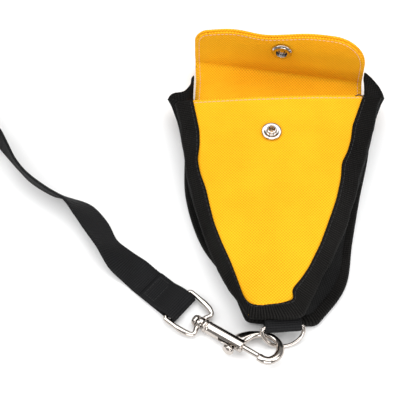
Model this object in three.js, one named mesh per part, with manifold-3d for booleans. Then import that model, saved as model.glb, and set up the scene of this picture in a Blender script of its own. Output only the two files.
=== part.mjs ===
// A treat pouch with a snap flap, lying on its back. A D-ring at its narrow end holds a swivel
// bolt snap, and the snap's eye carries a black webbing hand lead.
//
// Millimetres. +Z is up from the surface that the pouch lies on, +Y points to the mouth, and
// +X is to the right. The origin is on the underside of the back panel.

import * as THREE from "three";
import { mergeVertices } from "three/addons/utils/BufferGeometryUtils.js";
import Module from "manifold-3d";

const wasm = await Module();
wasm.setup();

// ---- driving dimensions -------------------------------------------------------------------

const CANVAS = 1.1; // thickness of one layer of canvas
const TAPE = 0.8; // thickness of the grosgrain binding
const GAP = 0.3; // clearance kept between touching pieces
const GROUND_GAP = 0.05; // from the ground to the back binding
const WEBBING_WIDTH = 18;
const WEBBING = 1.5; // thickness of the lead's webbing

// Front and back edges of the pouch as it lies, from the mouth to the narrow end. "seam" is
// where the panel meets its binding, "edge" is the panel's raw edge inside the binding, and
// "bulge" is how far the gusset stands out beyond the straight line between the two seams.
const FRONT_LEFT_SEAM = [[-49.5, 50.5, 27.5], [-45.6, 25, 26.6], [-43.3, 0, 25.2],
  [-36.5, -30, 23.4], [-27.5, -55, 21.6], [-18, -77, 20.4]];
const FRONT_LEFT_EDGE = [[-58, 50.5, 25.2], [-53.5, 25, 23.6], [-50.3, 0, 21.6],
  [-42.2, -31, 18.8], [-31.8, -57, 17.4], [-19, -81, 18]];
const FRONT_RIGHT_SEAM = [[50, 54, 27.5], [42, 26, 26.6], [34.5, 0, 25.2],
  [25, -30, 23.4], [14.5, -54, 21.6], [3.5, -74.5, 20.4]];
const FRONT_RIGHT_EDGE = [[58.5, 54, 25.2], [50.5, 25.5, 23.6], [42.8, -1, 21.6],
  [32.5, -32, 18.8], [20.5, -57, 17.4], [8.5, -79.5, 18]];
const BACK_LEFT_SEAM = [[-46.5, 58.4], [-47, 28], [-46.3, 0], [-37.5, -29], [-24, -52], [-14.5, -73]];
const BACK_LEFT_EDGE = [[-53, 58.4], [-52.6, 28], [-51.8, 0], [-43.2, -30], [-28, -54], [-19, -77]];
const BACK_RIGHT_SEAM = [[49, 53.4], [46, 28], [39.5, 0], [33.5, -30], [28, -54], [14, -73]];
const BACK_RIGHT_EDGE = [[55.5, 53.4], [52.2, 28], [45.5, 0], [39.2, -30], [33.8, -57], [18.4, -77]];
const LEFT_BULGE = [8, 6, 4, 0.5, 0, 0];
const RIGHT_BULGE = [8, 7, 5, 0.5, 0, 0];

const SIDE_STEPS = 11; // stations down each side of the pouch
const BOTTOM_STEPS = 4; // stations across its narrow end
const BOUND_SHARE = 0.95; // how far a panel reaches from its seam to its edge
const MOUTH_CROWDING = 1.25; // stations stand closer together near the mouth
const MOUTH_LIFT = 6.2; // the back panel's rise at the mouth
const LIFT_FROM_Y = 34;
const FRONT_CROWN = 1.6; // the front panel's swell between its seams

// The gusset's free ends, from the front binding to the back one. Each stands out at the front
// corner of the mouth, and pokes back beside the flap.
const LEFT_MOUTH = [[-53, 52, 21.3], [-58.5, 55, 19.8], [-63, 58.8, 17.4], [-60, 62.2, 15.4],
  [-54, 64.6, 14.4], [-51.8, 70, 14], [-50.6, 77.5, 13.4], [-50, 69, 12.8], [-48.5, 58.4, 12.2]];
const RIGHT_MOUTH = [[53.4, 54, 21.3], [58.5, 56.5, 19.5], [62, 61, 17], [61.6, 66.5, 15],
  [58.6, 71, 15], [56.8, 74.5, 14.5], [55.2, 78, 14], [54.4, 69, 13.8], [51, 53.4, 12.6]];
const MOUTH_FADE = 12; // how far down the pouch that shape reaches

const FLAP_HINGE = [0, 57.5, 8];
const FLAP_SKEW = THREE.MathUtils.degToRad(-3); // the fold line's turn about Z
const FLAP_FLOOR = [24, 9]; // from the hinge to the start of the bend, at the left and right
const FLAP_BEND = [7, 12]; // inside radius of the bend there
const FLAP_HALF_WIDTH = 49.5;
const FLAP_CENTRE_X = 1.5;
const FLAP_LENGTH = 58.5;
const FLAP_CORNER_LEFT = [7, 9]; // the rounded corner's width and height
const FLAP_CORNER_RIGHT = [20, 27];
const STUD_AT = [-2.8, -29.5, 20.85]; // from the middle of the hinge line
const SOCKET_X = 2;
const SOCKET_RISE = 24.5; // above the hinge line
const STUD_HOLE = 2.2; // radii of the holes in the canvas
const CAP_HOLE = 2;

const D_RING_WIRE = 1.1; // radius of the wire
const D_RING_HALF_WIDTH = 11.4; // to the wire's centre
const D_RING_DEPTH = 11.7;
const D_RING_AT = [-0.5, -84.3, 10.3]; // middle of its bar
const D_RING_TURN = [50.5, 4.6, 6]; // degrees about X, Y and Z
const TAB_WIDTH = 19.6;

const HOOK_AT = [-41.1, -81.4, 3.94]; // the barrel's collar; the barrel runs along local +X
const HOOK_TURN = [-11.7, -6.7, -34.5];
const HOOK_ROD = 2;
const BARREL_RADIUS = 3.5;
const BARREL_LENGTH = 23.4;
const BORE_RADIUS = 2.2;
const BOLT_RADIUS = 1.5;
const BOLT_TIP = 33.3; // distances along the barrel from its collar
const KNOB_SLOT = [9.2, 19.8];
const KNOB_SLOT_WIDTH = 2.6;
const PISTON_BACK = 16.2;
const PISTON_FRONT = 19.4;

const EYE_AT = -4.2; // the swivel eye's boss, along the barrel
const EYE_HEADING = 139.5; // degrees about Z
const EYE_WIRE = 1.35;
const EYE_REACH = 17; // from its boss to its webbing bar
const EYE_HALF_WIDTH = 10.7;
const EYE_BOSS = [3.4, 2.8]; // its radius and length along the barrel
const EYE_BORE = 2;

// The lead's centreline from the end of its sewn loop to its coil, [x, y, z, lean]. "lean" is
// how far the near edge is lifted, in degrees, so 90 stands the webbing on its edge.
const LEAD_ROUTE = [
  [-76.1, -51.8, 1.05, 0], [-80.3, -47.8, 1.25, 1], [-88.8, -41.2, 3.4, 14],
  [-97.9, -30.7, 6.6, 40], [-104.2, -19.7, 5.7, 32], [-111.2, -10.6, 6.4, 38],
  [-119.6, -4.6, 8.6, 60], [-130.4, 0.2, 9.1, 73], [-143.4, 9.8, 9.2, 79],
  [-150.5, 18.2, 9.2, 83], [-156.9, 28, 9.2, 92], [-162.3, 36.4, 9.2, 98],
  [-167.6, 44.4, 9.2, 94], [-171.5, 50.4, 9.2, 90],
];
const COIL_CENTRE = [-229.6, 34.2];
const COIL_RADII = [38.8, 59];
const HAND_LOOP_RADIUS = 28.5;
const HAND_LOOP_OFFSET = 9.2; // from the coil's centre

// ---- geometry helpers ---------------------------------------------------------------------

const vec = (x, y, z = 0) => new THREE.Vector3(x, y, z);
const lerp = THREE.MathUtils.lerp;

// Joins the shared vertices of a geometry, drops the triangles that collapsed to a line, and
// turns the faces outward.
function closed(geometry) {
  geometry.deleteAttribute("normal");
  geometry.deleteAttribute("uv");
  const merged = mergeVertices(geometry, 1e-4);
  const corners = merged.index.array;
  const p = merged.attributes.position;
  const a = vec(0, 0);
  const b = vec(0, 0);
  const c = vec(0, 0);
  const kept = [];
  let volume = 0;
  for (let i = 0; i < corners.length; i += 3) {
    const [i0, i1, i2] = corners.slice(i, i + 3);
    if (i0 === i1 || i1 === i2 || i2 === i0) {
      continue;
    }
    kept.push(i0, i1, i2);
    a.fromBufferAttribute(p, i0);
    b.fromBufferAttribute(p, i1);
    c.fromBufferAttribute(p, i2);
    volume += a.dot(b.cross(c));
  }
  if (volume < 0) {
    kept.reverse();
  }
  merged.setIndex(kept);
  return merged;
}

// Moves every vertex of a three.js geometry to where place(x, y, z) says.
function bend(geometry, place) {
  const p = geometry.attributes.position;
  for (let i = 0; i < p.count; i++) {
    const to = place(p.getX(i), p.getY(i), p.getZ(i));
    p.setXYZ(i, to.x, to.y, to.z);
  }
  return closed(geometry);
}

// A sheet: place(u, v, w) maps the unit box, with w through the thickness.
function sheet(stepsU, stepsV, place) {
  const box = new THREE.BoxGeometry(1, 1, 1, stepsU, stepsV, 1);
  return bend(box, (x, y, z) => place(x + 0.5, y + 0.5, z + 0.5));
}

// A strip: a flat section drawn in x and y, and drawn out along z from 0 to 1.
function strip(outline, steps, place) {
  const shape = new THREE.Shape(outline.map(([x, y]) => new THREE.Vector2(x, y)));
  const plain = new THREE.ExtrudeGeometry(shape, { depth: 1, steps, bevelEnabled: false });
  return bend(plain, place);
}

// A round rod along an open curve.
function rod(curve, radius, steps, sides = 8) {
  const section = new THREE.Shape().absarc(0, 0, radius, 0, 2 * Math.PI);
  const options = { extrudePath: curve, steps, curveSegments: sides, bevelEnabled: false };
  return closed(new THREE.ExtrudeGeometry(section, options));
}

// A closed wire ring that follows a flat closed path in the XY plane.
function wireRing(path, radius, steps, sides = 8) {
  const big = 10 * radius;
  return bend(new THREE.TorusGeometry(big, radius, sides, steps), (x, y, z) => {
    const turn = (Math.atan2(y, x) / (2 * Math.PI) + 1) % 1;
    const at = path.getPointAt(turn);
    const along = path.getTangentAt(turn);
    const out = Math.hypot(x, y) - big;
    return vec(at.x + along.y * out, at.y - along.x * out, z);
  });
}

// A turned piece about +Z, from [radius, height] points.
function turned(profile, segments = 20) {
  return closed(new THREE.LatheGeometry(profile.map(([r, h]) => new THREE.Vector2(r, h)), segments)
    .rotateX(Math.PI / 2));
}

function solid(geometry) {
  const g = geometry.index ? closed(geometry) : closed(mergeVertices(geometry, 1e-4));
  return new wasm.Manifold(new wasm.Mesh({
    numProp: 3,
    vertProperties: Float32Array.from(g.attributes.position.array),
    triVerts: Uint32Array.from(g.index.array),
  }));
}

function shape(manifold) {
  const mesh = manifold.getMesh();
  const g = new THREE.BufferGeometry();
  g.setAttribute("position", new THREE.BufferAttribute(Float32Array.from(mesh.vertProperties), 3));
  g.setIndex(Array.from(mesh.triVerts));
  return g;
}

function cylinder(radius, height, segments = 16) {
  return new THREE.CylinderGeometry(radius, radius, height, segments).rotateX(Math.PI / 2);
}

// ---- materials ----------------------------------------------------------------------------

function finish(color, roughness, metalness) {
  return new THREE.MeshStandardMaterial({ color, roughness, metalness });
}

const yellowCanvas = finish(0xf7b51c, 0.9, 0);
const blackCanvas = finish(0x141414, 0.95, 0);
const blackTape = finish(0x1a1a1a, 0.9, 0);
const blackWebbing = finish(0x17171a, 0.85, 0);
const nickel = finish(0xc9c4bc, 0.22, 1);
const springSteel = finish(0x8d8d90, 0.4, 1);

const pouch = new THREE.Group();

function add(parent, name, geometry, material) {
  const mesh = new THREE.Mesh(geometry, material);
  mesh.name = name;
  parent.add(mesh);
  return mesh;
}

// ---- the pouch's rim ----------------------------------------------------------------------

const LAST = 2 * SIDE_STEPS + BOTTOM_STEPS;
const spline = (rows) => new THREE.CatmullRomCurve3(rows.map((r) => vec(...r)), false, "centripetal");
const backLift = (y) => MOUTH_LIFT * THREE.MathUtils.smoothstep(y, LIFT_FROM_Y, 57);

// Station k runs from 0 at the mouth's left end, round the narrow end, to LAST at its right end.
function alongRim(leftRows, rightRows) {
  const left = spline(leftRows);
  const right = spline(rightRows);
  return (k) => {
    if (k <= SIDE_STEPS) {
      return left.getPoint((k / SIDE_STEPS) ** MOUTH_CROWDING);
    }
    if (k >= LAST - SIDE_STEPS) {
      return right.getPoint(((LAST - k) / SIDE_STEPS) ** MOUTH_CROWDING);
    }
    return left.getPoint(1).lerp(right.getPoint(1), (k - SIDE_STEPS) / BOTTOM_STEPS);
  };
}

const frontSeam = alongRim(FRONT_LEFT_SEAM, FRONT_RIGHT_SEAM);
const frontEdge = alongRim(FRONT_LEFT_EDGE, FRONT_RIGHT_EDGE);
const backSeam = alongRim(BACK_LEFT_SEAM, BACK_RIGHT_SEAM);
const backEdge = alongRim(BACK_LEFT_EDGE, BACK_RIGHT_EDGE);
const bulgeRow = (v, i) => [i, v, 0];
const bulge = alongRim(LEFT_BULGE.map(bulgeRow), RIGHT_BULGE.map(bulgeRow));

// Heights of the layers within each bound edge, measured from the panel's upper face.
const FRONT_LAYERS = {
  tapeOuter: GAP + TAPE,
  tapeInner: GAP,
  gusset: -CANVAS - 1.5 * GAP - CANVAS / 2,
  farInner: -2 * CANVAS - 3 * GAP,
  farOuter: -2 * CANVAS - 3 * GAP - TAPE,
};
const BACK_PANEL_TOP = GROUND_GAP + TAPE + GAP + CANVAS;

// The panel's grid: columns go across with one for each margin, and rows go down the pouch
// with one more for the margin at the narrow end.
function panelPoint(seam, edge, column, row, interior) {
  const inner = column - 1;
  const margin = (k) => seam(k).lerp(edge(k), BOUND_SHARE);
  if (row > SIDE_STEPS) {
    return margin(SIDE_STEPS + THREE.MathUtils.clamp(inner, 0, BOTTOM_STEPS));
  }
  if (inner < 0) {
    return margin(row);
  }
  if (inner > BOTTOM_STEPS) {
    return margin(LAST - row);
  }
  if (row === SIDE_STEPS) {
    return seam(SIDE_STEPS + inner);
  }
  const across = inner / BOTTOM_STEPS;
  return interior(seam(row).lerp(seam(LAST - row), across), across);
}

function panel(seam, edge, interior, topOf) {
  const columns = BOTTOM_STEPS + 2;
  const rows = SIDE_STEPS + 1;
  return sheet(columns, rows, (u, v, w) => {
    const p = panelPoint(seam, edge, Math.round(u * columns), Math.round(v * rows), interior);
    return vec(p.x, p.y, topOf(p) - (1 - w) * CANVAS);
  });
}

function frontPanel() {
  const crowned = (p, across) => {
    p.z += FRONT_CROWN * Math.sin(Math.PI * across);
    return p;
  };
  const plain = panel(frontSeam, frontEdge, crowned, (p) => p.z);
  const hole = cylinder(STUD_HOLE, 20);
  hole.translate(stud.position.x, stud.position.y, stud.position.z);
  return shape(solid(plain).subtract(solid(hole)));
}

function backPanel() {
  const sunk = (p, across) => {
    p.z = across > 0 && across < 1 ? CANVAS - BACK_PANEL_TOP : 0;
    return p;
  };
  return panel(backSeam, backEdge, sunk, (p) => BACK_PANEL_TOP + p.z + backLift(p.y));
}

// A folded tape: two leaves with the panel's and the gusset's raw edges between them. The
// section's first coordinate is ten times the way from seam to edge, then millimetres past it.
function binding(seam, edge, topLeaf, bottomLeaf) {
  const outline = [
    [topLeaf.from, topLeaf.outer], [10, topLeaf.outer],
    [10.9, topLeaf.outer - 0.7], [11.1, (topLeaf.inner + bottomLeaf.inner) / 2],
    [10.9, bottomLeaf.outer + 0.7], [10, bottomLeaf.outer],
    [bottomLeaf.from, bottomLeaf.outer], [bottomLeaf.from, bottomLeaf.inner],
    [10, bottomLeaf.inner], [10.3, (topLeaf.inner + bottomLeaf.inner) / 2],
    [10, topLeaf.inner], [topLeaf.from, topLeaf.inner],
  ];
  return strip(outline, LAST, (x, h, t) => {
    const k = Math.round(t * LAST);
    const from = seam(k);
    const to = edge(k);
    const beyond = Math.max(x - 10, 0);
    const out = to.clone().sub(from).setZ(0).normalize().multiplyScalar(beyond);
    return from.lerp(to, Math.min(x / 10, 1)).add(out).add(vec(0, 0, h));
  });
}

function frontBinding() {
  return binding(frontSeam, frontEdge,
    { from: 0, outer: FRONT_LAYERS.tapeOuter, inner: FRONT_LAYERS.tapeInner },
    { from: 4, outer: FRONT_LAYERS.farOuter, inner: FRONT_LAYERS.farInner });
}

const raised = (p) => p.setZ(BACK_PANEL_TOP + backLift(p.y));

function backBinding() {
  const topInner = GAP + CANVAS + 1.5 * GAP;
  return binding((k) => raised(backSeam(k)), (k) => raised(backEdge(k)),
    { from: 3, outer: topInner + TAPE, inner: topInner },
    { from: 1.5, outer: -CANVAS - GAP - TAPE, inner: -CANVAS - GAP });
}

const ARCH_STEPS = LEFT_MOUTH.length - 1;
const ARCH_START = 5; // points of a section before its bulge

// The gusset's section at station k: out of the front binding, down and out round the bulge,
// and into the back binding.
function gussetSection(k) {
  const out = frontEdge(k).sub(frontSeam(k)).setZ(0).normalize();
  const front = (way, h) => frontSeam(k).lerp(frontEdge(k), way).add(vec(0, 0, h));
  const back = (way, h) => raised(backSeam(k).lerp(backEdge(k), way)).add(vec(0, 0, h));
  const inFront = FRONT_LAYERS.gusset;
  const inBack = GAP + CANVAS / 2;
  const underTape = front(0.4, inFront - 3.1);
  const overTape = back(0.3, inBack + 2.7);
  const points = [front(0.93, inFront), front(0.5, inFront), front(0.14, inFront),
    front(0.14, inFront - 1).addScaledVector(out, -0.8),
    front(0.14, inFront - 2.2).addScaledVector(out, -0.3)];
  for (let i = 0; i <= ARCH_STEPS; i++) {
    const way = i / ARCH_STEPS;
    const swell = bulge(k).y * Math.sin(Math.PI * way) ** 0.8;
    points.push(underTape.clone().lerp(overTape, way).addScaledVector(out, swell));
  }
  points.push(back(0.12, inBack + 2).addScaledVector(out, -0.3),
    back(0.12, inBack + 0.9).addScaledVector(out, -0.7), back(0.12, inBack), back(0.93, inBack));
  return { points, side: vec(out.y, -out.x) };
}

// Draws the sections near the mouth towards the shape of the gusset's free end.
function shapeMouth(sections, end, mouth) {
  const shift = mouth.map((row, i) => vec(...row).sub(sections[end].points[ARCH_START + i]));
  sections.forEach(({ points }, k) => {
    const fade = Math.exp(-frontSeam(k).distanceTo(frontSeam(end)) / MOUTH_FADE);
    shift.forEach((by, i) => {
      const p = points[ARCH_START + i];
      const under = backLift(p.y);
      p.addScaledVector(by, fade);
      p.z += (backLift(p.y) - under) * (i / ARCH_STEPS);
    });
  });
}

function gusset() {
  const sections = [];
  for (let k = 0; k <= LAST; k++) {
    sections.push(gussetSection(k));
  }
  shapeMouth(sections, 0, LEFT_MOUTH);
  shapeMouth(sections, LAST, RIGHT_MOUTH);
  const last = sections[0].points.length - 1;
  return sheet(LAST, last, (u, v, w) => {
    const { points, side } = sections[Math.round(u * LAST)];
    const i = Math.round(v * last);
    const before = points[Math.max(i - 1, 0)];
    const after = points[Math.min(i + 1, last)];
    const into = points[i].clone().sub(before).normalize();
    const along = after.clone().sub(points[i]).normalize().add(into);
    const normal = along.cross(side).normalize();
    return points[i].clone().addScaledVector(normal, (w - 0.5) * CANVAS);
  });
}

// ---- the flap -----------------------------------------------------------------------------

const flap = new THREE.Group();
flap.position.set(...FLAP_HINGE);
flap.rotation.z = FLAP_SKEW;

const LINING_TOP = 0.3; // the flap's inner face above the hinge line
const FLAP_BASE = 0.6; // from the hinge line to the flap's edge

// Where the flap bends at x: the bend's start behind the hinge line, and its inside radius.
function flapBend(x) {
  const across = (x - FLAP_CENTRE_X) / (2 * FLAP_HALF_WIDTH) + 0.5;
  return { floor: lerp(...FLAP_FLOOR, across), radius: lerp(...FLAP_BEND, across) };
}

// A point on the flap: s along its length from the hinge, and "depth" below the inner face.
function flapPoint(x, s, depth) {
  const { floor, radius } = flapBend(x);
  if (s < floor) {
    return vec(x, s, LINING_TOP - depth);
  }
  const angle = Math.min((s - floor) / radius, Math.PI / 2);
  const rise = Math.max(s - floor - (Math.PI / 2) * radius, 0);
  const y = floor + (radius + depth) * Math.sin(angle);
  return vec(x, y, LINING_TOP + radius - (radius + depth) * Math.cos(angle) + rise);
}

// Rows across the flap: three on its floor, four round the bend, and the rest up the wall.
const BEND_ROW = 3;
const WALL_ROW = 7;
const FLAP_ROWS = 14;

function flapRow(row, x) {
  const { floor, radius } = flapBend(x);
  const wall = floor + (Math.PI / 2) * radius;
  if (row < BEND_ROW) {
    return lerp(FLAP_BASE, floor, row / BEND_ROW);
  }
  if (row < WALL_ROW) {
    return lerp(floor, wall, (row - BEND_ROW) / (WALL_ROW - BEND_ROW));
  }
  const up = (row - WALL_ROW) / (FLAP_ROWS - WALL_ROW);
  return lerp(wall, FLAP_LENGTH, Math.sin((up * Math.PI) / 2) ** 0.9);
}

// Half the flap's width at s: full, then a quarter ellipse at the free corner.
function flapHalfWidth(s, [width, height]) {
  const into = Math.max(s - (FLAP_LENGTH - height), 0) / height;
  return FLAP_HALF_WIDTH - width + width * Math.sqrt(Math.max(1 - into * into, 0));
}

function flapLayer(depth) {
  const plain = sheet(8, FLAP_ROWS, (u, v, w) => {
    const full = FLAP_CENTRE_X + (2 * u - 1) * FLAP_HALF_WIDTH;
    const s = flapRow(Math.round(v * FLAP_ROWS), full);
    const left = FLAP_CENTRE_X - flapHalfWidth(s, FLAP_CORNER_LEFT);
    const right = FLAP_CENTRE_X + flapHalfWidth(s, FLAP_CORNER_RIGHT);
    return flapPoint(lerp(left, right, u), s, depth + (1 - w) * CANVAS);
  });
  const hole = cylinder(CAP_HOLE, 20).rotateX(Math.PI / 2).rotateZ(WALL_TURN);
  hole.translate(socketAt.x, socketAt.y, socketAt.z);
  return shape(solid(plain).subtract(solid(hole)));
}

// ---- the snap fastener --------------------------------------------------------------------

const behindSocket = flapBend(SOCKET_X);
const socketAt = vec(SOCKET_X, behindSocket.floor + behindSocket.radius, SOCKET_RISE);
const wallDrop = FLAP_FLOOR[0] + FLAP_BEND[0] - FLAP_FLOOR[1] - FLAP_BEND[1];
const WALL_TURN = -Math.atan(wallDrop / (2 * FLAP_HALF_WIDTH)); // the wall's turn about Z
const stud = new THREE.Group();
stud.position.set(...STUD_AT).applyAxisAngle(vec(0, 0, 1), FLAP_SKEW).add(vec(...FLAP_HINGE));

const EYELET_RADIUS = 1.6;
const SNAP_BORE = 1.95;

function snapStud() {
  return turned([[SNAP_BORE, 0], [5.5, 0], [5.8, 0.4], [5.5, 1], [4.6, 1.1], [3.1, 0.7], [2.5, 1.1],
    [2.5, 1.7], [2.9, 2.3], [2.7, 2.9], [SNAP_BORE, 3.1], [SNAP_BORE, 0]], 24);
}

// A flanged tube pushed through the cloth from its far side.
function eyelet(flange, tube, thickness) {
  return turned([[1, 0], [flange - 0.4, 0], [flange, thickness / 2], [flange - 0.4, thickness],
    [EYELET_RADIUS, thickness], [EYELET_RADIUS, tube], [1, tube], [1, 0]], 20);
}

function snapSocket() {
  return turned([[SNAP_BORE, 0], [5.6, 0], [6.1, 0.5], [6.1, 1.5], [5.2, 2.6], [3.4, 2.6],
    [3.3, 2.1], [4.3, 1.9], [4.3, 0.9], [SNAP_BORE, 0.8], [SNAP_BORE, 0]], 24);
}

// The domed cap on the flap's far face, with the shank that holds the socket.
function snapCap() {
  return turned([[0, 1.6], [3, 1.4], [5.2, 0.8], [6.2, 0], [5.4, -0.3], [EYELET_RADIUS, -0.3],
    [EYELET_RADIUS, -4.4], [0, -4.4], [0, 1.6]], 24);
}

function socketSpring() {
  return closed(new THREE.TorusGeometry(3.7, 0.35, 6, 18));
}

// ---- D-ring and its tab -------------------------------------------------------------------

const degrees = (turns) => turns.map(THREE.MathUtils.degToRad);

function frame(at, turn) {
  const group = new THREE.Group();
  group.position.set(...at);
  group.rotation.set(...degrees(turn), "ZYX");
  return group;
}

const dRing = frame(D_RING_AT, D_RING_TURN);
const tab = frame(D_RING_AT, [0, D_RING_TURN[1], D_RING_TURN[2]]);

function dRingWire() {
  const half = D_RING_HALF_WIDTH;
  const corner = 2;
  const path = new THREE.Path();
  path.moveTo(0, 0);
  path.lineTo(half - corner, 0);
  path.absarc(half - corner, -corner, corner, Math.PI / 2, 0, true);
  path.absellipse(0, -corner, half, D_RING_DEPTH - corner, 0, -Math.PI, true);
  path.absarc(corner - half, -corner, corner, Math.PI, Math.PI / 2, true);
  path.lineTo(0, 0);
  return wireRing(path, D_RING_WIRE, 36);
}

// Webbing folded round the D-ring's bar. Its legs run up to the seam at the narrow end.
function tabLoop() {
  const inner = D_RING_WIRE + 0.4;
  const outer = inner + WEBBING - 0.1;
  const legs = 4;
  const outline = new THREE.Shape();
  outline.moveTo(legs, outer);
  outline.lineTo(0, outer);
  outline.absarc(0, 0, outer, Math.PI / 2, -Math.PI / 2, false);
  outline.lineTo(legs, -outer);
  outline.lineTo(legs, -inner);
  outline.lineTo(0, -inner);
  outline.absarc(0, 0, inner, -Math.PI / 2, Math.PI / 2, true);
  outline.lineTo(legs, inner);
  outline.closePath();
  const options = { depth: TAB_WIDTH, curveSegments: 7, bevelEnabled: false };
  const loop = new THREE.ExtrudeGeometry(outline, options);
  return closed(loop.rotateX(Math.PI / 2).rotateZ(Math.PI / 2).translate(-TAB_WIDTH / 2, 0, 0));
}

// ---- the swivel bolt snap -----------------------------------------------------------------

const hook = frame(HOOK_AT, HOOK_TURN);

// Turned pieces of the snap are drawn along +Z and laid along the barrel.
const alongBarrel = (geometry) => geometry.rotateY(Math.PI / 2);

function hookBody() {
  const front = BARREL_LENGTH;
  const barrel = alongBarrel(turned([[1.8, -1.6], [3.6, -1.6], [3.8, -1.2], [3.8, -0.4], [3.2, 0],
    [3.2, 0.4], [3.7, 0.7], [3.7, 1.4], [BARREL_RADIUS, 1.8], [BARREL_RADIUS, front - 0.4],
    [BARREL_RADIUS - 0.4, front], [1.8, front], [1.8, front - 1.4], [BORE_RADIUS, front - 1.4],
    [BORE_RADIUS, 4], [1.8, 4], [1.8, -1.6]], 20));
  const bow = new THREE.CatmullRomCurve3([[19.2, 2.6], [20.4, 5.6], [22.8, 9.4], [26.2, 12.5],
    [30.2, 14.4], [34.6, 14.5], [38.4, 12.6], [40.9, 9.1], [41.3, 4.7], [39.5, 0.9], [36.6, -0.5],
    [33.9, -0.5]].map(([along, across]) => vec(along, across)), false, "centripetal");
  const [slotFrom, slotTo] = KNOB_SLOT;
  const slot = new THREE.BoxGeometry(slotTo - slotFrom, 4, KNOB_SLOT_WIDTH);
  slot.translate((slotFrom + slotTo) / 2, -3.4, 0);
  const shell = solid(barrel).subtract(solid(slot));
  const core = solid(alongBarrel(cylinder(BORE_RADIUS, 19.2, 20).translate(0, 0, 13.2)));
  return shape(shell.add(solid(rod(bow, HOOK_ROD, 22, 6)).subtract(core)));
}

function swivelPost() {
  return alongBarrel(turned([[0, -9.2], [1.6, -9], [2.8, -8.2], [3.3, -7.1], [3.2, -6.4], [1.4, -6.4],
    [1.4, 3.6], [0, 3.6], [0, -9.2]], 16));
}

function triggerBolt() {
  const piston = BORE_RADIUS - 0.3;
  return alongBarrel(turned([[0, PISTON_BACK], [piston, PISTON_BACK], [piston, PISTON_FRONT],
    [BOLT_RADIUS, PISTON_FRONT], [BOLT_RADIUS, BOLT_TIP - 0.3], [BOLT_RADIUS - 0.3, BOLT_TIP],
    [0, BOLT_TIP], [0, PISTON_BACK]], 14));
}

function thumbKnob() {
  const knob = turned([[0, 2.25], [0.9, 2.25], [0.9, 5.2], [2.3, 5.4], [2.7, 6.2], [2.3, 7.2],
    [1.2, 7.7], [0, 7.8], [0, 2.25]], 16);
  return knob.rotateX(Math.PI / 2).translate((PISTON_BACK + PISTON_FRONT) / 2, 0, 0);
}

function triggerSpring() {
  const turns = 5;
  const perTurn = 6;
  const from = 4.5;
  const to = PISTON_BACK - 0.6;
  const points = [];
  for (let i = 0; i <= turns * perTurn; i++) {
    const angle = (2 * Math.PI * i) / perTurn;
    const along = lerp(from, to, i / (turns * perTurn));
    points.push(vec(along, 1.55 * Math.cos(angle), 1.55 * Math.sin(angle)));
  }
  return rod(new THREE.CatmullRomCurve3(points), 0.25, turns * 8, 2);
}

const eye = new THREE.Group();
hook.updateMatrixWorld();
eye.position.copy(hook.localToWorld(vec(EYE_AT, 0)));
eye.rotation.z = THREE.MathUtils.degToRad(EYE_HEADING);

function swivelEye() {
  const half = EYE_HALF_WIDTH;
  const corner = 1.5;
  const path = new THREE.Path();
  path.moveTo(EYE_REACH, 0);
  path.lineTo(EYE_REACH, half - corner);
  path.absarc(EYE_REACH - corner, half - corner, corner, 0, Math.PI / 2, false);
  path.bezierCurveTo(9, half, -1.5, half - 0.6, -1.2, half - 3.6);
  path.bezierCurveTo(-1, half - 6, 0, 5, 0, 3);
  path.lineTo(0, -3);
  path.bezierCurveTo(0, -5, -1, 6 - half, -1.2, 3.6 - half);
  path.bezierCurveTo(-1.5, 0.6 - half, 9, -half, EYE_REACH - corner, -half);
  path.absarc(EYE_REACH - corner, corner - half, corner, -Math.PI / 2, 0, false);
  path.lineTo(EYE_REACH, 0);
  const boss = solid(alongBarrel(cylinder(...EYE_BOSS)));
  const hole = solid(alongBarrel(cylinder(EYE_BORE, 8)));
  return shape(solid(wireRing(path, EYE_WIRE, 38)).add(boss).subtract(hole));
}

// ---- the lead -----------------------------------------------------------------------------

const lead = new THREE.Group();
lead.position.copy(eye.position).add(vec(EYE_REACH, 0).applyAxisAngle(vec(0, 0, 1), eye.rotation.z));
lead.rotation.z = eye.rotation.z;

// The lead's end, folded round the eye's bar with some slack and sewn back on itself.
function leadEndLoop() {
  const inner = EYE_WIRE + 0.4;
  const outer = inner + WEBBING;
  const slack = 2.5;
  const foldEnd = 19.5;
  const end = 24;
  const outline = new THREE.Shape();
  outline.moveTo(end, -outer);
  outline.lineTo(end, -inner);
  outline.lineTo(foldEnd, -inner);
  outline.lineTo(foldEnd, WEBBING - inner);
  outline.lineTo(11, WEBBING - inner);
  outline.lineTo(8.5, 0.3);
  outline.lineTo(1.8, 3);
  outline.lineTo(-slack, outer);
  outline.absarc(-slack, 0, outer, Math.PI / 2, -Math.PI / 2, false);
  outline.closePath();
  const eyeHole = new THREE.Path();
  eyeHole.moveTo(7.5, -inner);
  eyeHole.lineTo(7, -0.9);
  eyeHole.lineTo(1.5, 1.4);
  eyeHole.lineTo(-slack, inner);
  eyeHole.absarc(-slack, 0, inner, Math.PI / 2, -Math.PI / 2, false);
  eyeHole.closePath();
  outline.holes.push(eyeHole);
  const options = { depth: WEBBING_WIDTH, curveSegments: 7, bevelEnabled: false };
  const loop = new THREE.ExtrudeGeometry(outline, options).rotateX(Math.PI / 2);
  return closed(loop.translate(0, WEBBING_WIDTH / 2, 0));
}

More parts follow.
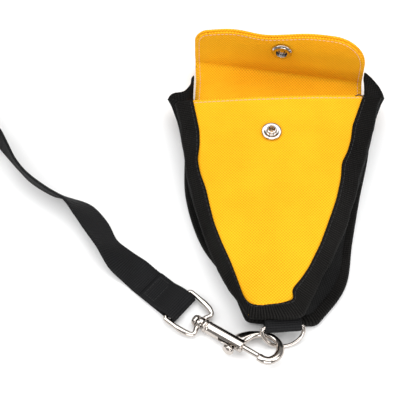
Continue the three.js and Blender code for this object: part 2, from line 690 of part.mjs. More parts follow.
function leadRun() {
  const centre = spline(LEAD_ROUTE.map(([x, y, z]) => [x, y, z]));
  const lean = new THREE.CatmullRomCurve3(LEAD_ROUTE.map((row) => vec(row[3], 0)));
  const t = WEBBING / 2;
  const w = WEBBING_WIDTH / 2;
  const outline = [[-t, 0.3 - w], [-t, w - 0.3], [0.3 - t, w], [t - 0.3, w], [t, w - 0.3],
    [t, 0.3 - w], [t - 0.3, -w], [0.3 - t, -w]];
  return strip(outline, 39, (thick, wide, along) => {
    const at = centre.getPoint(along);
    const go = centre.getTangent(along);
    const angle = THREE.MathUtils.degToRad(lean.getPoint(along).x);
    const flat = vec(go.y, -go.x).normalize();
    const across = flat.multiplyScalar(Math.cos(angle)).setZ(-Math.sin(angle));
    const face = go.clone().cross(across).normalize();
    return at.addScaledVector(across, wide).addScaledVector(face, thick);
  });
}

// The wound part of the lead, standing on its edge.
function leadCoil() {
  const [inner, outer] = COIL_RADII;
  const height = WEBBING_WIDTH + 0.2;
  return turned([[inner, 0], [outer, 0], [outer, height], [inner, height], [inner, 0]], 40);
}

function handLoop() {
  const inner = HAND_LOOP_RADIUS - WEBBING / 2;
  const outer = HAND_LOOP_RADIUS + WEBBING / 2;
  return turned([[inner, 0], [outer, 0], [outer, WEBBING_WIDTH], [inner, WEBBING_WIDTH], [inner, 0]], 28);
}

// ---- assembly -----------------------------------------------------------------------------

pouch.add(flap, stud, dRing, tab, hook, eye, lead);

add(pouch, "back_panel", backPanel(), yellowCanvas);
add(pouch, "front_panel", frontPanel(), yellowCanvas);
add(pouch, "gusset", gusset(), blackCanvas);
add(pouch, "front_binding", frontBinding(), blackTape);
add(pouch, "back_binding", backBinding(), blackTape);
add(stud, "snap_stud", snapStud(), nickel);
add(stud, "snap_stud_eyelet", eyelet(4.6, 2.6, 0.5), nickel).position.z = -CANVAS - 1.5;
add(tab, "d_ring_tab", tabLoop(), blackWebbing);

add(flap, "flap_lining", flapLayer(0), yellowCanvas);
add(flap, "flap_outer", flapLayer(CANVAS + GAP), yellowCanvas);
const towardPouch = new THREE.Group();
towardPouch.position.copy(socketAt);
towardPouch.rotation.set(Math.PI / 2, 0, WALL_TURN, "ZYX");
flap.add(towardPouch);
add(towardPouch, "snap_socket", snapSocket(), nickel).position.z = GAP;
add(towardPouch, "snap_socket_spring", socketSpring(), springSteel).position.z = GAP + 1.4;
const cap = add(towardPouch, "snap_cap", snapCap(), nickel);
cap.rotation.x = Math.PI;
cap.position.z = -2 * (CANVAS + GAP) - GAP;

add(dRing, "d_ring", dRingWire(), nickel);

add(hook, "hook_body", hookBody(), nickel);
add(hook, "swivel_post", swivelPost(), nickel);
add(hook, "trigger_bolt", triggerBolt(), nickel);
add(hook, "thumb_knob", thumbKnob(), nickel);
add(hook, "trigger_spring", triggerSpring(), springSteel);
add(eye, "swivel_eye", swivelEye(), nickel);

add(lead, "lead_end_loop", leadEndLoop(), blackWebbing);
add(pouch, "lead_run", leadRun(), blackWebbing);
add(pouch, "lead_coil", leadCoil(), blackWebbing).position.set(...COIL_CENTRE, 0.1);
const handLoopAngle = THREE.MathUtils.degToRad(80);
add(pouch, "hand_loop", handLoop(), blackWebbing).position.set(
  COIL_CENTRE[0] + HAND_LOOP_OFFSET * Math.cos(handLoopAngle),
  COIL_CENTRE[1] + HAND_LOOP_OFFSET * Math.sin(handLoopAngle), 0.15);

export default pouch;
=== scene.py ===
"""A yellow canvas treat pouch that lies open on its back, with its bolt snap and webbing lead.

Metres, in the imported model's frame: +X is to the right, +Y points to the mouth, and +Z is up
from the table. Lengths below are written in millimetres and multiplied by MM.
"""

import math

import bmesh
import bpy
import numpy as np
from mathutils import Matrix, Vector


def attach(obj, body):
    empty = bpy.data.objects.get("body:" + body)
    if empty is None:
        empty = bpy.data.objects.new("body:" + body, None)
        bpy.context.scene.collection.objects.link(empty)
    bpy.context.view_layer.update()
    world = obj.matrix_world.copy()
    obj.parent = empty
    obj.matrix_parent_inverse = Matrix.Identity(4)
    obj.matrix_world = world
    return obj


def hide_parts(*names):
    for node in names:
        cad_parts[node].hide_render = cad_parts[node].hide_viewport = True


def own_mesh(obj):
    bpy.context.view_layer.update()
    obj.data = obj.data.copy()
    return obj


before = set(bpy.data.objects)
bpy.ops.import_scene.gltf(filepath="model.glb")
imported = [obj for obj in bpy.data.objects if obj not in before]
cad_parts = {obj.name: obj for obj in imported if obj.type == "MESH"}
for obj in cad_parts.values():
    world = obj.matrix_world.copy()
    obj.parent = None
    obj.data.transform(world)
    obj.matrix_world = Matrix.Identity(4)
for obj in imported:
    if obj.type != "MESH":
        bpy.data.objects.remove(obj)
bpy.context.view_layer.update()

MM = 0.001

# ---- the view and its light (metres)

VIEW_TARGET = (-0.045, 0, 0)
VIEW_DISTANCE = 0.7
VIEW_ELEVATION = math.radians(60)
VIEW_WIDTH = 0.231  # of what is seen at the target
SENSOR_WIDTH = 36  # millimetres, as the lens is
FLOOR_SIZE = 6
FLOOR_GREY = 0.93
FLOOR_Z = -0.0001
AMBIENT_LIGHT = 0.3
LIGHT_TARGET = (-0.02, 0, 0)
SOFTBOXES = {  # place, width and height, power in watts
    "overhead": ((0.05, 0.25, 1.25), (1.2, 1.3), 13),
    "left": ((-0.9, -0.1, 1.0), (0.7, 0.9), 6),
    "right": ((0.95, -0.3, 0.85), (0.6, 0.9), 5),
    "front": ((0, -1.1, 0.6), (1.0, 0.5), 8),
}

# ---- the pouch's rim, as in the solid model (millimetres)

FRONT_LEFT_SEAM = [(-49.5, 50.5, 27.5), (-45.6, 25, 26.6), (-43.3, 0, 25.2),
                   (-36.5, -30, 23.4), (-27.5, -55, 21.6), (-18, -77, 20.4)]
FRONT_LEFT_EDGE = [(-58, 50.5, 25.2), (-53.5, 25, 23.6), (-50.3, 0, 21.6),
                   (-42.2, -31, 18.8), (-31.8, -57, 17.4), (-19, -81, 18)]
FRONT_RIGHT_SEAM = [(50, 54, 27.5), (42, 26, 26.6), (34.5, 0, 25.2),
                    (25, -30, 23.4), (14.5, -54, 21.6), (3.5, -74.5, 20.4)]
FRONT_RIGHT_EDGE = [(58.5, 54, 25.2), (50.5, 25.5, 23.6), (42.8, -1, 21.6),
                    (32.5, -32, 18.8), (20.5, -57, 17.4), (8.5, -79.5, 18)]
BACK_LEFT_SEAM = [(-46.5, 58.4), (-47, 28), (-46.3, 0), (-37.5, -29), (-24, -52), (-14.5, -73)]
BACK_LEFT_EDGE = [(-53, 58.4), (-52.6, 28), (-51.8, 0), (-43.2, -30), (-28, -54), (-19, -77)]
BACK_RIGHT_SEAM = [(49, 53.4), (46, 28), (39.5, 0), (33.5, -30), (28, -54), (14, -73)]
BACK_RIGHT_EDGE = [(55.5, 53.4), (52.2, 28), (45.5, 0), (39.2, -30), (33.8, -57), (17.6, -79.2)]
# How far the gusset swells out beside each of those rows, from the mouth down.
LEFT_BULGE = [8, 6, 4, 0.5, 0, 0]
RIGHT_BULGE = [8, 7, 5, 0.5, 0, 0]

# The gusset's free ends at the mouth, from the front tape to the back one.
LEFT_MOUTH = [(-53, 52, 21.3), (-59.3, 55.4, 19.8), (-62.9, 59, 17.6), (-61, 63.4, 15.6),
              (-54.6, 65.6, 14.6), (-50.8, 71, 14), (-49, 78, 13.4), (-48.9, 69, 12.8),
              (-48.5, 58.4, 12.2)]
RIGHT_MOUTH = [(53.4, 54, 21.3), (59.8, 56, 19.5), (62.6, 60.3, 17.2), (62.2, 66.5, 15.4),
               (59.2, 72, 15), (56.2, 76.5, 14.5), (53.8, 79, 14), (53.3, 69, 13.8),
               (51, 53.4, 12.6)]
MOUTH_FADE = 12  # how far down the pouch that shape reaches

# Where the front tape's inner edge wanders to, as (x, y).
TAPE_LEFT = [(-49.4, 50.5), (-47.6, 41), (-45.6, 30), (-45.4, 21), (-46.6, 11), (-45.2, 2.5),
             (-42, -7), (-39.6, -19), (-37.6, -28), (-33.4, -40), (-28.8, -51), (-25, -62),
             (-22, -72), (-18, -77)]
TAPE_RIGHT = [(50, 54), (46, 43), (42.4, 33), (41, 24), (38.6, 16), (35, 9), (34, -1), (30.8, -14),
              (26.5, -26), (20.8, -41), (13.8, -55), (8.8, -62.5), (4.2, -67.5), (4.4, -70.4),
              (6, -73.2), (3.5, -74.5)]

CANVAS = 1.1
TAPE = 0.8
GAP = 0.3
MOUTH_LIFT = 6.2
LIFT_BETWEEN_Y = (34, 57)  # where the back begins to rise towards the mouth, and where it ends
FRONT_CROWN = 1.6
PANEL_WIDTH = 90  # about, between the back's seams
GUSSET_WIDTH = 40  # about, along its swell
HEM_FADE = 1.1  # how far below the mouth's edge the hem's extra thickness fades
HEM_EXTRA = 0.55
FLOOR_GAP = 0.2  # under the back panel's middle
BACK_TOP = 0.05 + TAPE + GAP + CANVAS  # height of the back panel's upper face

# The cloth's unevenness: height, seed of the pattern, and its scale along and across.
FRONT_RIPPLES = [(0.4, 3, (0.05, 0.07)), (0.15, 5, (0.16, 0.2))]
TAPE_RISES = [(0.45, 11, (0.12, 0.1)), (0.3, 17, (0.5, 0.3))]
TAPE_SWINGS = [(0.6, 12, (0.16, 0.1)), (0.25, 13, (0.6, 0.1))]
GUSSET_CREASES = [(0.75, 31, (0.035, 0.22)), (0.4, 37, (0.12, 0.3))]
FLAP_RIPPLE = (0.5, 41, (0.1, 0.08))

SIDE_SHARE = 0.46  # of the rim's parameter that each side takes; the narrow end has the rest
MOUTH_CROWDING = 1.25  # more than 1 sets the stations closer together near the mouth

# ---- the flap and its snap

FLAP_HINGE = (0, 57.5, 8)
FLAP_SKEW = math.radians(-3)
FLAP_FLOOR = (24, 9)  # from the hinge to the start of the bend, at the left and right
FLAP_BEND = (7, 12)  # inside radius of the bend there
FLAP_HALF_WIDTH = 49.5
FLAP_CENTRE_X = 1.5
FLAP_LENGTH = 58.5
FLAP_CREASE = 2.5  # the crease's inside radius
FLAP_CORNER_LEFT = (7, 9)  # the rounded corner's width and height
FLAP_CORNER_RIGHT = (20, 27)
STUD_AT = (-2.8, -29.5, 20.85)  # from the middle of the hinge line
SOCKET_X = 2
SOCKET_RISE = 24.5  # above the hinge line
SOCKET_S = 45.5  # from the hinge along the flap
FLAP_LIFT = 0.3  # of the flap's floor above the hinge's height
FLAP_BOW = 1.4  # how far the left edge bows out past a straight one
HEM_INSET = 2.2  # of the flap's row of stitches from its edge

# ---- metal fittings

D_RING_WIRE = 1.1
D_RING_HALF_WIDTH = 11.4
D_RING_DEPTH = 11.7
D_RING_AT = (-0.5, -84.3, 10.3)
D_RING_TURN = (50.5, 4.6, 6)
TAB_WIDTH = 19.6
TAB_ENDS = (4.6, 2.5)  # how far its two leaves reach past the bar, and where they begin to bend
HOOK_AT = (-41.1, -81.4, 3.94)
HOOK_TURN = (-11.7, -6.7, -34.5)
HOOK_ROD = 2
BARREL_RADIUS = 3.5
BARREL_LENGTH = 23.4
EYE_HEADING = 139.5
EYE_WIRE = 1.35
EYE_REACH = 17
EYE_HALF_WIDTH = 10.7
EYE_BAR = (-57.4646, -67.9967, 3.45)  # middle of the bar that the lead's loop is on

# ---- the lead

WEBBING = 1.5
WEBBING_WIDTH = 18
WEBBING_LIP = 0.8  # of that width that its two rounded edges take
WEBBING_SPACE = 0.4  # between webbing and the wire that it goes round
FOLD_SLACK = 2.5  # how far behind the eye's bar the fold reaches past a snug one
# Its upper leaf as it comes down to the lead, (x, z) from the bar.
FOLD_DOWN = [(0.6, 2.4), (4.2, 1.6), (6.6, 0.7), (8.8, -0.3), (10.6, -0.85)]
SEWN_Z = -0.93  # of the end's middle, where it lies on the lead
SEWN_RUN = (12.5, 16, 19.4)  # and how far from the bar it lies so
SEWN_BOX = ((11.2, 18), 6.6)  # the stitched box's two ends, and its half width
# The lead's uncoiled stretch, (x, y, z, lean): lean is how far the near edge is lifted, in degrees.
LEAD_ROUTE = [
    (-76.1, -51.8, 1.05, 0), (-80.3, -47.8, 1.25, 1), (-88.8, -41.2, 3.4, 14),
    (-97.9, -30.7, 6.6, 40), (-104.2, -19.7, 5.7, 32), (-111.2, -10.6, 6.4, 38),
    (-119.6, -4.6, 8.6, 60), (-130.4, 0.2, 9.1, 73), (-143.4, 9.8, 9.2, 79),
    (-150.5, 18.2, 9.2, 83), (-156.9, 28, 9.2, 92), (-162.3, 36.4, 9.2, 98),
    (-167.6, 44.4, 9.2, 94), (-171.5, 50.4, 9.2, 90),
]
COIL_CENTRE = (-229.6, 34.2)
COIL_START_RADIUS = 57.5
COIL_START_ANGLE = 33
COIL_PITCH = 8.6
COIL_TURNS = 2.13
COIL_Z = 9.2
HAND_LOOP_RADIUS = 28.5
HAND_LOOP_OFFSET = 9.2
HAND_LOOP_ANGLE = 80


# ---- objects and node inputs

def set_inputs(node, values):
    for name, value in values.items():
        node.inputs[name].default_value = value


def new_object(name, data):
    made = bpy.data.objects.new(name, data)
    bpy.context.scene.collection.objects.link(made)
    return made


# ---- camera and studio

def studio():
    """A three-quarter view from above, a pale floor and soft lights."""
    scene = bpy.context.scene
    lens = bpy.data.cameras.new("camera")
    lens.lens = SENSOR_WIDTH * VIEW_DISTANCE / VIEW_WIDTH
    lens.clip_start = 0.01
    camera = new_object("camera", lens)
    back = Vector((0, -math.cos(VIEW_ELEVATION), math.sin(VIEW_ELEVATION)))
    camera.location = Vector(VIEW_TARGET) + VIEW_DISTANCE * back
    camera.rotation_euler = back.to_track_quat("Z", "Y").to_euler()
    scene.camera = camera
    scene.view_settings.view_transform = "Standard"

    bpy.ops.mesh.primitive_plane_add(size=FLOOR_SIZE, location=(0, 0, FLOOR_Z))
    floor = bpy.context.object
    floor.name = "floor"
    pale = bpy.data.materials.new("pale_floor")
    pale.use_nodes = True
    set_inputs(pale.node_tree.nodes["Principled BSDF"], {
        "Base Color": (*[FLOOR_GREY] * 3, 1), "Roughness": 0.9, "Specular IOR Level": 0.1})
    floor.data.materials.append(pale)

    world = bpy.data.worlds.new("studio")
    world.use_nodes = True
    set_inputs(world.node_tree.nodes["Background"], {
        "Color": (1, 1, 1, 1), "Strength": AMBIENT_LIGHT})
    scene.world = world

    for name, (place, size, power) in SOFTBOXES.items():
        light = bpy.data.lights.new(name, "AREA")
        light.shape = "RECTANGLE"
        light.size, light.size_y = size
        light.energy = power
        lamp = new_object(name, light)
        lamp.location = place
        aim = Vector(LIGHT_TARGET) - lamp.location
        lamp.rotation_euler = aim.to_track_quat("-Z", "Y").to_euler()


studio()


# ---- shapes

def spline(rows, t):
    """Points at t, from 0 to 1, on a centripetal Catmull-Rom curve through rows."""
    p = np.asarray(rows, float)
    p = np.vstack([2 * p[0] - p[1], p, 2 * p[-1] - p[-2]])
    at = np.clip(np.atleast_1d(t), 0, 1) * (len(rows) - 1)
    i = np.minimum(at.astype(int), len(rows) - 2)
    w = (at - i)[:, None]
    a, b, c, d = p[i], p[i + 1], p[i + 2], p[i + 3]
    spans = [np.sqrt(np.maximum(np.linalg.norm(q - r, axis=1), 1e-9))[:, None]
             for q, r in ((b, a), (c, b), (d, c))]
    before, here, after = spans
    leave = ((b - a) / before - (c - a) / (before + here) + (c - b) / here) * here
    arrive = ((c - b) / here - (d - b) / (here + after) + (d - c) / after) * here
    return (b + leave * w + (3 * (c - b) - 2 * leave - arrive) * w**2
            + (2 * (b - c) + leave + arrive) * w**3)


def lengths(p):
    """Distance along a line of points, from its first."""
    return np.concatenate([[0], np.cumsum(np.linalg.norm(np.diff(p, axis=0), axis=1))])


def grid_lengths(p, axis):
    """Distance of each grid point from the first of its column, axis 0, or of its row, axis 1."""
    step = np.linalg.norm(np.diff(p, axis=axis), axis=2)
    start = np.zeros_like(step.take([0], axis=axis))
    return np.concatenate([start, np.cumsum(step, axis=axis)], axis=axis)


def values_at(at, along, values):
    """Rows of values, one for each distance in along, read off at the distances in at."""
    return np.column_stack([np.interp(at, along, column) for column in values.T])


def moved(points, matrix):
    m = np.array(matrix)
    return points @ m[:3, :3].T + m[:3, 3]


def unit(v):
    return v / np.maximum(np.linalg.norm(v, axis=-1, keepdims=True), 1e-12)


def smooth(a, low, high):
    """0 below low, 1 above high, and an S between."""
    t = np.clip((a - low) / (high - low), 0, 1)
    return t * t * (3 - 2 * t)


def ripple(u, v, height, seed, scale):
    """A smooth uneven pattern up to about height each way, the same each run. scale is how
    close together its waves are along u and v."""
    waves = 7
    random = np.random.default_rng(seed)
    total = np.zeros(np.broadcast(u, v).shape)
    for _ in range(waves):
        across, along, phase = random.normal(0, 1), random.normal(0, 1), random.uniform(0, 6.3)
        total = total + np.sin(across * u * scale[0] + along * v * scale[1] + phase)
    return height * (total / math.sqrt(waves * 3))


def ripples(u, v, layers):
    return sum(ripple(u, v, *layer) for layer in layers)


WELD = 1e-7  # metres: points this close are one


def cleaned(data, weld=False):
    """Turns a mesh's faces outwards, and may first join the points that lie together."""
    work = bmesh.new()
    work.from_mesh(data)
    if weld:
        bmesh.ops.remove_doubles(work, verts=work.verts, dist=WELD)
        bmesh.ops.dissolve_degenerate(work, edges=work.edges, dist=WELD / 10)
    bmesh.ops.recalc_face_normals(work, faces=work.faces)
    work.to_mesh(data)
    work.free()


def piece(name, vertices, faces, material, slot, body, uv=None, stands_for=()):
    """A smooth-shaded mesh object that rides on a body. Vertices are in millimetres."""
    data = bpy.data.meshes.new(name)
    data.from_pydata((np.asarray(vertices, float) * MM).tolist(), [],
                     [tuple(map(int, face)) for face in faces])
    if uv is not None:
        layer = data.uv_layers.new(name="cloth")
        flat = np.asarray(uv, float)
        corners = np.zeros(len(data.loops), int)
        data.loops.foreach_get("vertex_index", corners)
        layer.data.foreach_set("uv", (flat[corners] * MM).ravel())
    cleaned(data)
    data.shade_smooth()
    data.materials.append(material)
    made = new_object(name, data)
    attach(made, body)
    if stands_for:
        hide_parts(*stands_for)
    return made


def grid_faces(rows, columns):
    i, j = np.meshgrid(np.arange(rows - 1), np.arange(columns - 1), indexing="ij")
    a = i * columns + j
    return np.stack([a, a + 1, a + columns + 1, a + columns], axis=-1).reshape(-1, 4)


EDGE_STAND = 0.8  # how far a cloth's rounded edge stands out, in half thicknesses


def cloth(p, thick, uv):
    """A closed slab with rounded edges round a grid of points: (vertices, faces, uv)."""
    rows, columns = p.shape[:2]
    normal = unit(np.cross(np.gradient(p, axis=0), np.gradient(p, axis=1)))
    half = np.broadcast_to(np.asarray(thick, float) / 2, (rows, columns))[..., None]
    count = rows * columns
    index = np.arange(count).reshape(rows, columns)
    rim = np.concatenate([index[0, :-1], index[:-1, -1], index[-1, :0:-1], index[:0:-1, 0]])
    flat = p.reshape(-1, 3)
    inner = np.concatenate([index[1, :-1], index[:-1, -2], index[-2, :0:-1], index[:0:-1, 1]])
    away = unit(flat[rim] - flat[inner])
    lip = flat[rim] + away * half.reshape(-1, 1)[rim] * EDGE_STAND
    top = (p + normal * half).reshape(-1, 3)
    bottom = (p - normal * half).reshape(-1, 3)
    quads = grid_faces(rows, columns)
    edge = 2 * count + np.arange(len(rim))
    next_rim, next_edge = np.roll(rim, -1), np.roll(edge, -1)
    faces = [quads, quads[:, ::-1] + count, np.stack([rim, next_rim, next_edge, edge], axis=1),
             np.stack([edge, next_edge, count + next_rim, count + rim], axis=1)]
    flat_uv = uv.reshape(-1, 2)
    all_uv = np.vstack([flat_uv, flat_uv, flat_uv[rim]])
    return np.vstack([top, bottom, lip]), np.vstack(faces), all_uv


def cloth_piece(name, p, thick, uv, material, slot, body, stands_for=()):
    vertices, faces, flat = cloth(p, thick, uv)
    return piece(name, vertices, faces, material, slot, body, flat, stands_for)


DOME_ANGLES = (0.5, 0.85, 1.2)  # radians, of the rings that round off a tube's end


def tube(path, radius, sides=16, ring=False):
    """A tube along a line of points: (vertices, faces). radius is one number, one for each point,
    or a pair for each point for an oval tube. Open ones get domed ends."""
    p = np.asarray(path, float)
    count = len(p)
    if ring:
        along = unit(np.roll(p, -1, axis=0) - np.roll(p, 1, axis=0))
    else:
        along = unit(np.gradient(p, axis=0))
    side = np.zeros_like(p)
    start = np.cross(along[0], (0, 0, 1))
    if np.linalg.norm(start) < 0.1:
        start = np.cross(along[0], (0, 1, 0))
    side[0] = unit(start)
    for i in range(1, count):
        side[i] = unit(side[i - 1] - along[i] * np.dot(side[i - 1], along[i]))
    over = np.cross(along, side)
    angle = np.linspace(0, 2 * math.pi, sides, endpoint=False)
    if np.ndim(radius) < 2:
        radius = np.reshape(radius, (-1, 1))
    r = np.broadcast_to(radius, (count, 2))
    circle = (np.cos(angle)[None, :, None] * (side * r[:, :1])[:, None]
              + np.sin(angle)[None, :, None] * (over * r[:, 1:])[:, None])
    rings = p[:, None] + circle
    if not ring:
        domes = [[p[end] + along[end] * sign * r[end].min() * math.sin(a) + circle[end] * math.cos(a)
                  for a in DOME_ANGLES] for end, sign in ((0, -1), (-1, 1))]
        rings = np.concatenate([domes[0][::-1], rings, domes[1]])
    total = len(rings)
    vertices = rings.reshape(-1, 3)
    faces = []
    for i in range(total if ring else total - 1):
        after = (i + 1) % total
        for j in range(sides):
            k = (j + 1) % sides
            faces.append((i * sides + j, i * sides + k, after * sides + k, after * sides + j))
    if not ring:
        faces.append(tuple(range(sides)))
        faces.append(tuple((total - 1) * sides + j for j in range(sides)))
    return vertices, faces


ON_AXIS = 1e-6  # millimetres: a turned outline's point this near the axis is on it


def round_corners(profile, radius, steps=4):
    """A closed outline of (radius, height) points with its corners rounded."""
    share = 0.45  # of a side that a corner's rounding may take
    p = np.asarray(profile, float)
    out = []
    for i, here in enumerate(p):
        before, after = p[i - 1], p[(i + 1) % len(p)]
        if here[0] < ON_AXIS:
            out.append(here)
            continue
        r = min(radius, share * np.linalg.norm(before - here),
                share * np.linalg.norm(after - here))
        a, b = here + unit(before - here) * r, here + unit(after - here) * r
        for t in np.linspace(0, 1, steps):
            out.append((1 - t)**2 * a + 2 * t * (1 - t) * here + t**2 * b)
    return np.array(out)


def turned(profile, radius=0.25, segments=48):
    """A turned solid about +Z from (radius, height) points: (vertices, faces)."""
    outline = round_corners(profile, radius)
    count = len(outline)
    angles = [2 * math.pi * k / segments for k in range(segments)]
    vertices = [(r * math.cos(a), r * math.sin(a), h) for a in angles for r, h in outline]
    faces = []
    for k in range(segments):
        after = (k + 1) % segments
        for i in range(count):
            j = (i + 1) % count
            if outline[i][0] < ON_AXIS and outline[j][0] < ON_AXIS:
                continue
            faces.append((k * count + i, k * count + j, after * count + j, after * count + i))
    return np.array(vertices), faces


def joined(*parts):
    """Several (vertices, faces) in one."""
    vertices, faces, base = [], [], 0
    for v, f in parts:
        vertices.append(np.asarray(v, float))
        faces.extend(tuple(base + i for i in face) for face in f)
        base += len(v)
    return np.vstack(vertices), faces


def placed(part, matrix):
    """(vertices, faces) moved by a matrix in millimetres."""
    vertices, faces = part
    return moved(vertices, matrix), faces


def metal_piece(name, part, matrix, body, stands_for, material=None, slot="nickel"):
    vertices, faces = placed(part, matrix)
    made = piece(name, vertices, faces, material or nickel, slot, body, None, stands_for)
    cleaned(made.data, weld=True)
    return made


def turn_matrix(at, degrees):
    x, y, z = (math.radians(d) for d in degrees)
    return (Matrix.Translation(at) @ Matrix.Rotation(z, 4, "Z") @ Matrix.Rotation(y, 4, "Y")
            @ Matrix.Rotation(x, 4, "X"))


# ---- materials

class Nodes:
    """Shorthand for building a material's node tree."""

    def __init__(self, name):
        self.material = bpy.data.materials.new(name)
        self.material.use_nodes = True
        self.tree = self.material.node_tree
        self.shader = self.tree.nodes["Principled BSDF"]

    def add(self, kind, **settings):
        node = self.tree.nodes.new("ShaderNode" + kind)
        for key, value in settings.items():
            setattr(node, key, value)
        return node

    def link(self, out, into):
        self.tree.links.new(out, into)

    def math(self, operation, *values):
        node = self.add("Math", operation=operation)
        for socket, value in zip(node.inputs, values):
            if isinstance(value, (int, float)):
                socket.default_value = value
            else:
                self.link(value, socket)
        return node.outputs[0]

    def plus(self, a, b):
        return self.math("ADD", a, b)

    def times(self, a, b):
        return self.math("MULTIPLY", a, b)

    def noise(self, scale, detail=2.0, roughness=0.5):
        place = self.add("TexCoord")
        node = self.add("TexNoise")
        set_inputs(node, {"Scale": scale, "Detail": detail, "Roughness": roughness})
        self.link(place.outputs["Object"], node.inputs["Vector"])
        return node.outputs["Fac"]

    def colour(self, factor, low, high):
        """The shader's base colour, from low to high as factor rises."""
        mix = self.add("Mix", data_type="RGBA")
        self.link(factor, mix.inputs[0])
        mix.inputs[6].default_value = (*low, 1)
        mix.inputs[7].default_value = (*high, 1)
        self.link(mix.outputs[2], self.shader.inputs["Base Color"])

    def bump(self, height, distance, strength=1.0):
        node = self.add("Bump")
        set_inputs(node, {"Distance": distance, "Strength": strength})
        self.link(height, node.inputs["Height"])
        self.link(node.outputs["Normal"], self.shader.inputs["Normal"])


def woven(name, low, high, pitch, relief, roughness, shine, mottle=0.1, ribs=False):
    """Cloth whose threads go over and under each other, or with ribs, cords across the v way.
    pitch is their spacing along u and v in millimetres."""
    n = Nodes(name)
    uv = n.add("UVMap", uv_map="cloth")
    split = n.add("SeparateXYZ")
    n.link(uv.outputs["UV"], split.inputs[0])
    uneven, fibres, stains = 260, 2400, 28  # noise scales, per metre
    wobble = n.times(n.math("SUBTRACT", n.noise(uneven, 1.0), 0.5), 1.4)
    u, v = (n.plus(n.times(split.outputs[k], math.pi / (pitch[k] * MM)), wobble) for k in (0, 1))
    if ribs:
        cord = n.math("ABSOLUTE", n.math("SINE", u))
        cross = n.times(n.math("ABSOLUTE", n.math("SINE", v)), 0.35)
        height = n.times(n.plus(n.math("POWER", cord, 0.7), cross), 0.75)
    else:
        height = n.plus(n.times(n.times(n.math("SINE", u), n.math("SINE", v)), 0.5), 0.5)
    surface = n.plus(height, n.times(n.noise(fibres, 3.0, 0.7), 0.5))
    patches = n.math("SUBTRACT", n.noise(stains, 3.0, 0.6), 0.5)
    # The colour follows the weave's pattern and the threads' height: painted highlight on the thread
    # tops and painted shade in the hollows between them, plus random patches of tone.
    painted_relief_light_and_patches = n.plus(height, n.times(patches, mottle * 6))
    n.colour(painted_relief_light_and_patches, low, high)
    set_inputs(n.shader, {"Roughness": roughness, "Specular IOR Level": shine})
    n.bump(surface, relief * MM)
    return n.material


def plated(name, colour, roughness):
    """Bright plating with faint polishing marks."""
    scratches, clouds = 900, 120  # noise scales, per metre
    n = Nodes(name)
    set_inputs(n.shader, {"Metallic": 1})
    marks = n.noise(scratches, 4.0, 0.65)
    cloudy = n.noise(clouds, 2.0)
    n.colour(cloudy, colour, tuple(c * 0.9 for c in colour))
    n.link(n.plus(n.times(cloudy, roughness * 0.7), roughness * 0.65),
           n.shader.inputs["Roughness"])
    n.bump(marks, 0.02 * MM, 0.25)
    return n.material


def thread(name, colour):
    strands = 1800  # noise scale, per metre
    n = Nodes(name)
    twist = n.noise(strands, 2.0)
    n.colour(twist, colour, tuple(c * 0.7 for c in colour))
    set_inputs(n.shader, {"Roughness": 0.8})
    n.bump(twist, 0.05 * MM)
    return n.material


# For each cloth, the first colour is painted shade in the hollows between threads and the second is
# painted highlight on the thread tops, over the weave's pattern.
yellow = woven("yellow_canvas", (0.74, 0.27, 0.002), (0.98, 0.54, 0.014), (0.85, 0.85), 0.2, 0.85,
               shine=0.16, mottle=0.1)
black_cloth = woven("black_canvas", (0.001, 0.001, 0.001), (0.014, 0.014, 0.014), (0.9, 0.9), 0.3,
                    0.75, shine=0.07, mottle=0.2)
tape_cloth = woven("black_grosgrain", (0.0, 0.0, 0.0), (0.018, 0.017, 0.016), (1.2, 1.1), 1.2,
                   0.6, shine=0.05, mottle=0.2, ribs=True)
webbing_cloth = woven("black_webbing", (0.001, 0.001, 0.001), (0.013, 0.013, 0.014), (1.2, 1.5), 0.4,
                      0.7, shine=0.12, ribs=True)
nickel = plated("bright_nickel", (0.56, 0.51, 0.47), 0.13)
steel = plated("spring_steel", (0.34, 0.34, 0.35), 0.3)
pale_thread = thread("pale_thread", (0.9, 0.55, 0.32))
black_thread = thread("black_thread", (0.02, 0.02, 0.02))


# ---- stitches

STITCH_SHARE = 0.74  # of the pitch that a stitch fills; the rest is the gap to the next
STITCH_HUMP = np.array([-0.9, 0.25, 0.6, 0.6, 0.25, -0.9])  # its height, in thread radii


def stitches(name, path, lift, material, slot, body, pitch, radius):
    """A row of short threads along a line of points. lift is the way out of the cloth."""
    along = lengths(path)
    out = np.broadcast_to(np.asarray(lift, float), path.shape)
    hump = radius * STITCH_HUMP[:, None]
    parts = []
    for start in np.arange(0.4 * pitch, along[-1] - pitch, pitch):
        at = start + pitch * STITCH_SHARE * np.linspace(0, 1, len(hump))
        line = values_at(at, along, path) + values_at(at, along, out) * hump
        parts.append(tube(line, radius, 6))
    piece(name, *joined(*parts), material, slot, body)


# ---- the lead

def webbing_piece(name, line, across, body, stands_for, at=Matrix(), thick=WEBBING,
                  width=WEBBING_WIDTH):
    """Webbing along a line of points. across is the way over its width."""
    over = np.linspace(-0.5, 0.5, 13) * (width - WEBBING_LIP)
    across = np.broadcast_to(np.asarray(across, float), line.shape)
    grid = line[:, None] + across[:, None] * over[None, :, None]
    uv = np.stack(np.broadcast_arrays(lengths(line)[:, None], over[None, :]), axis=-1)
    return cloth_piece(name, moved(grid, at), thick, uv, webbing_cloth, "black_webbing", body,
                       stands_for)


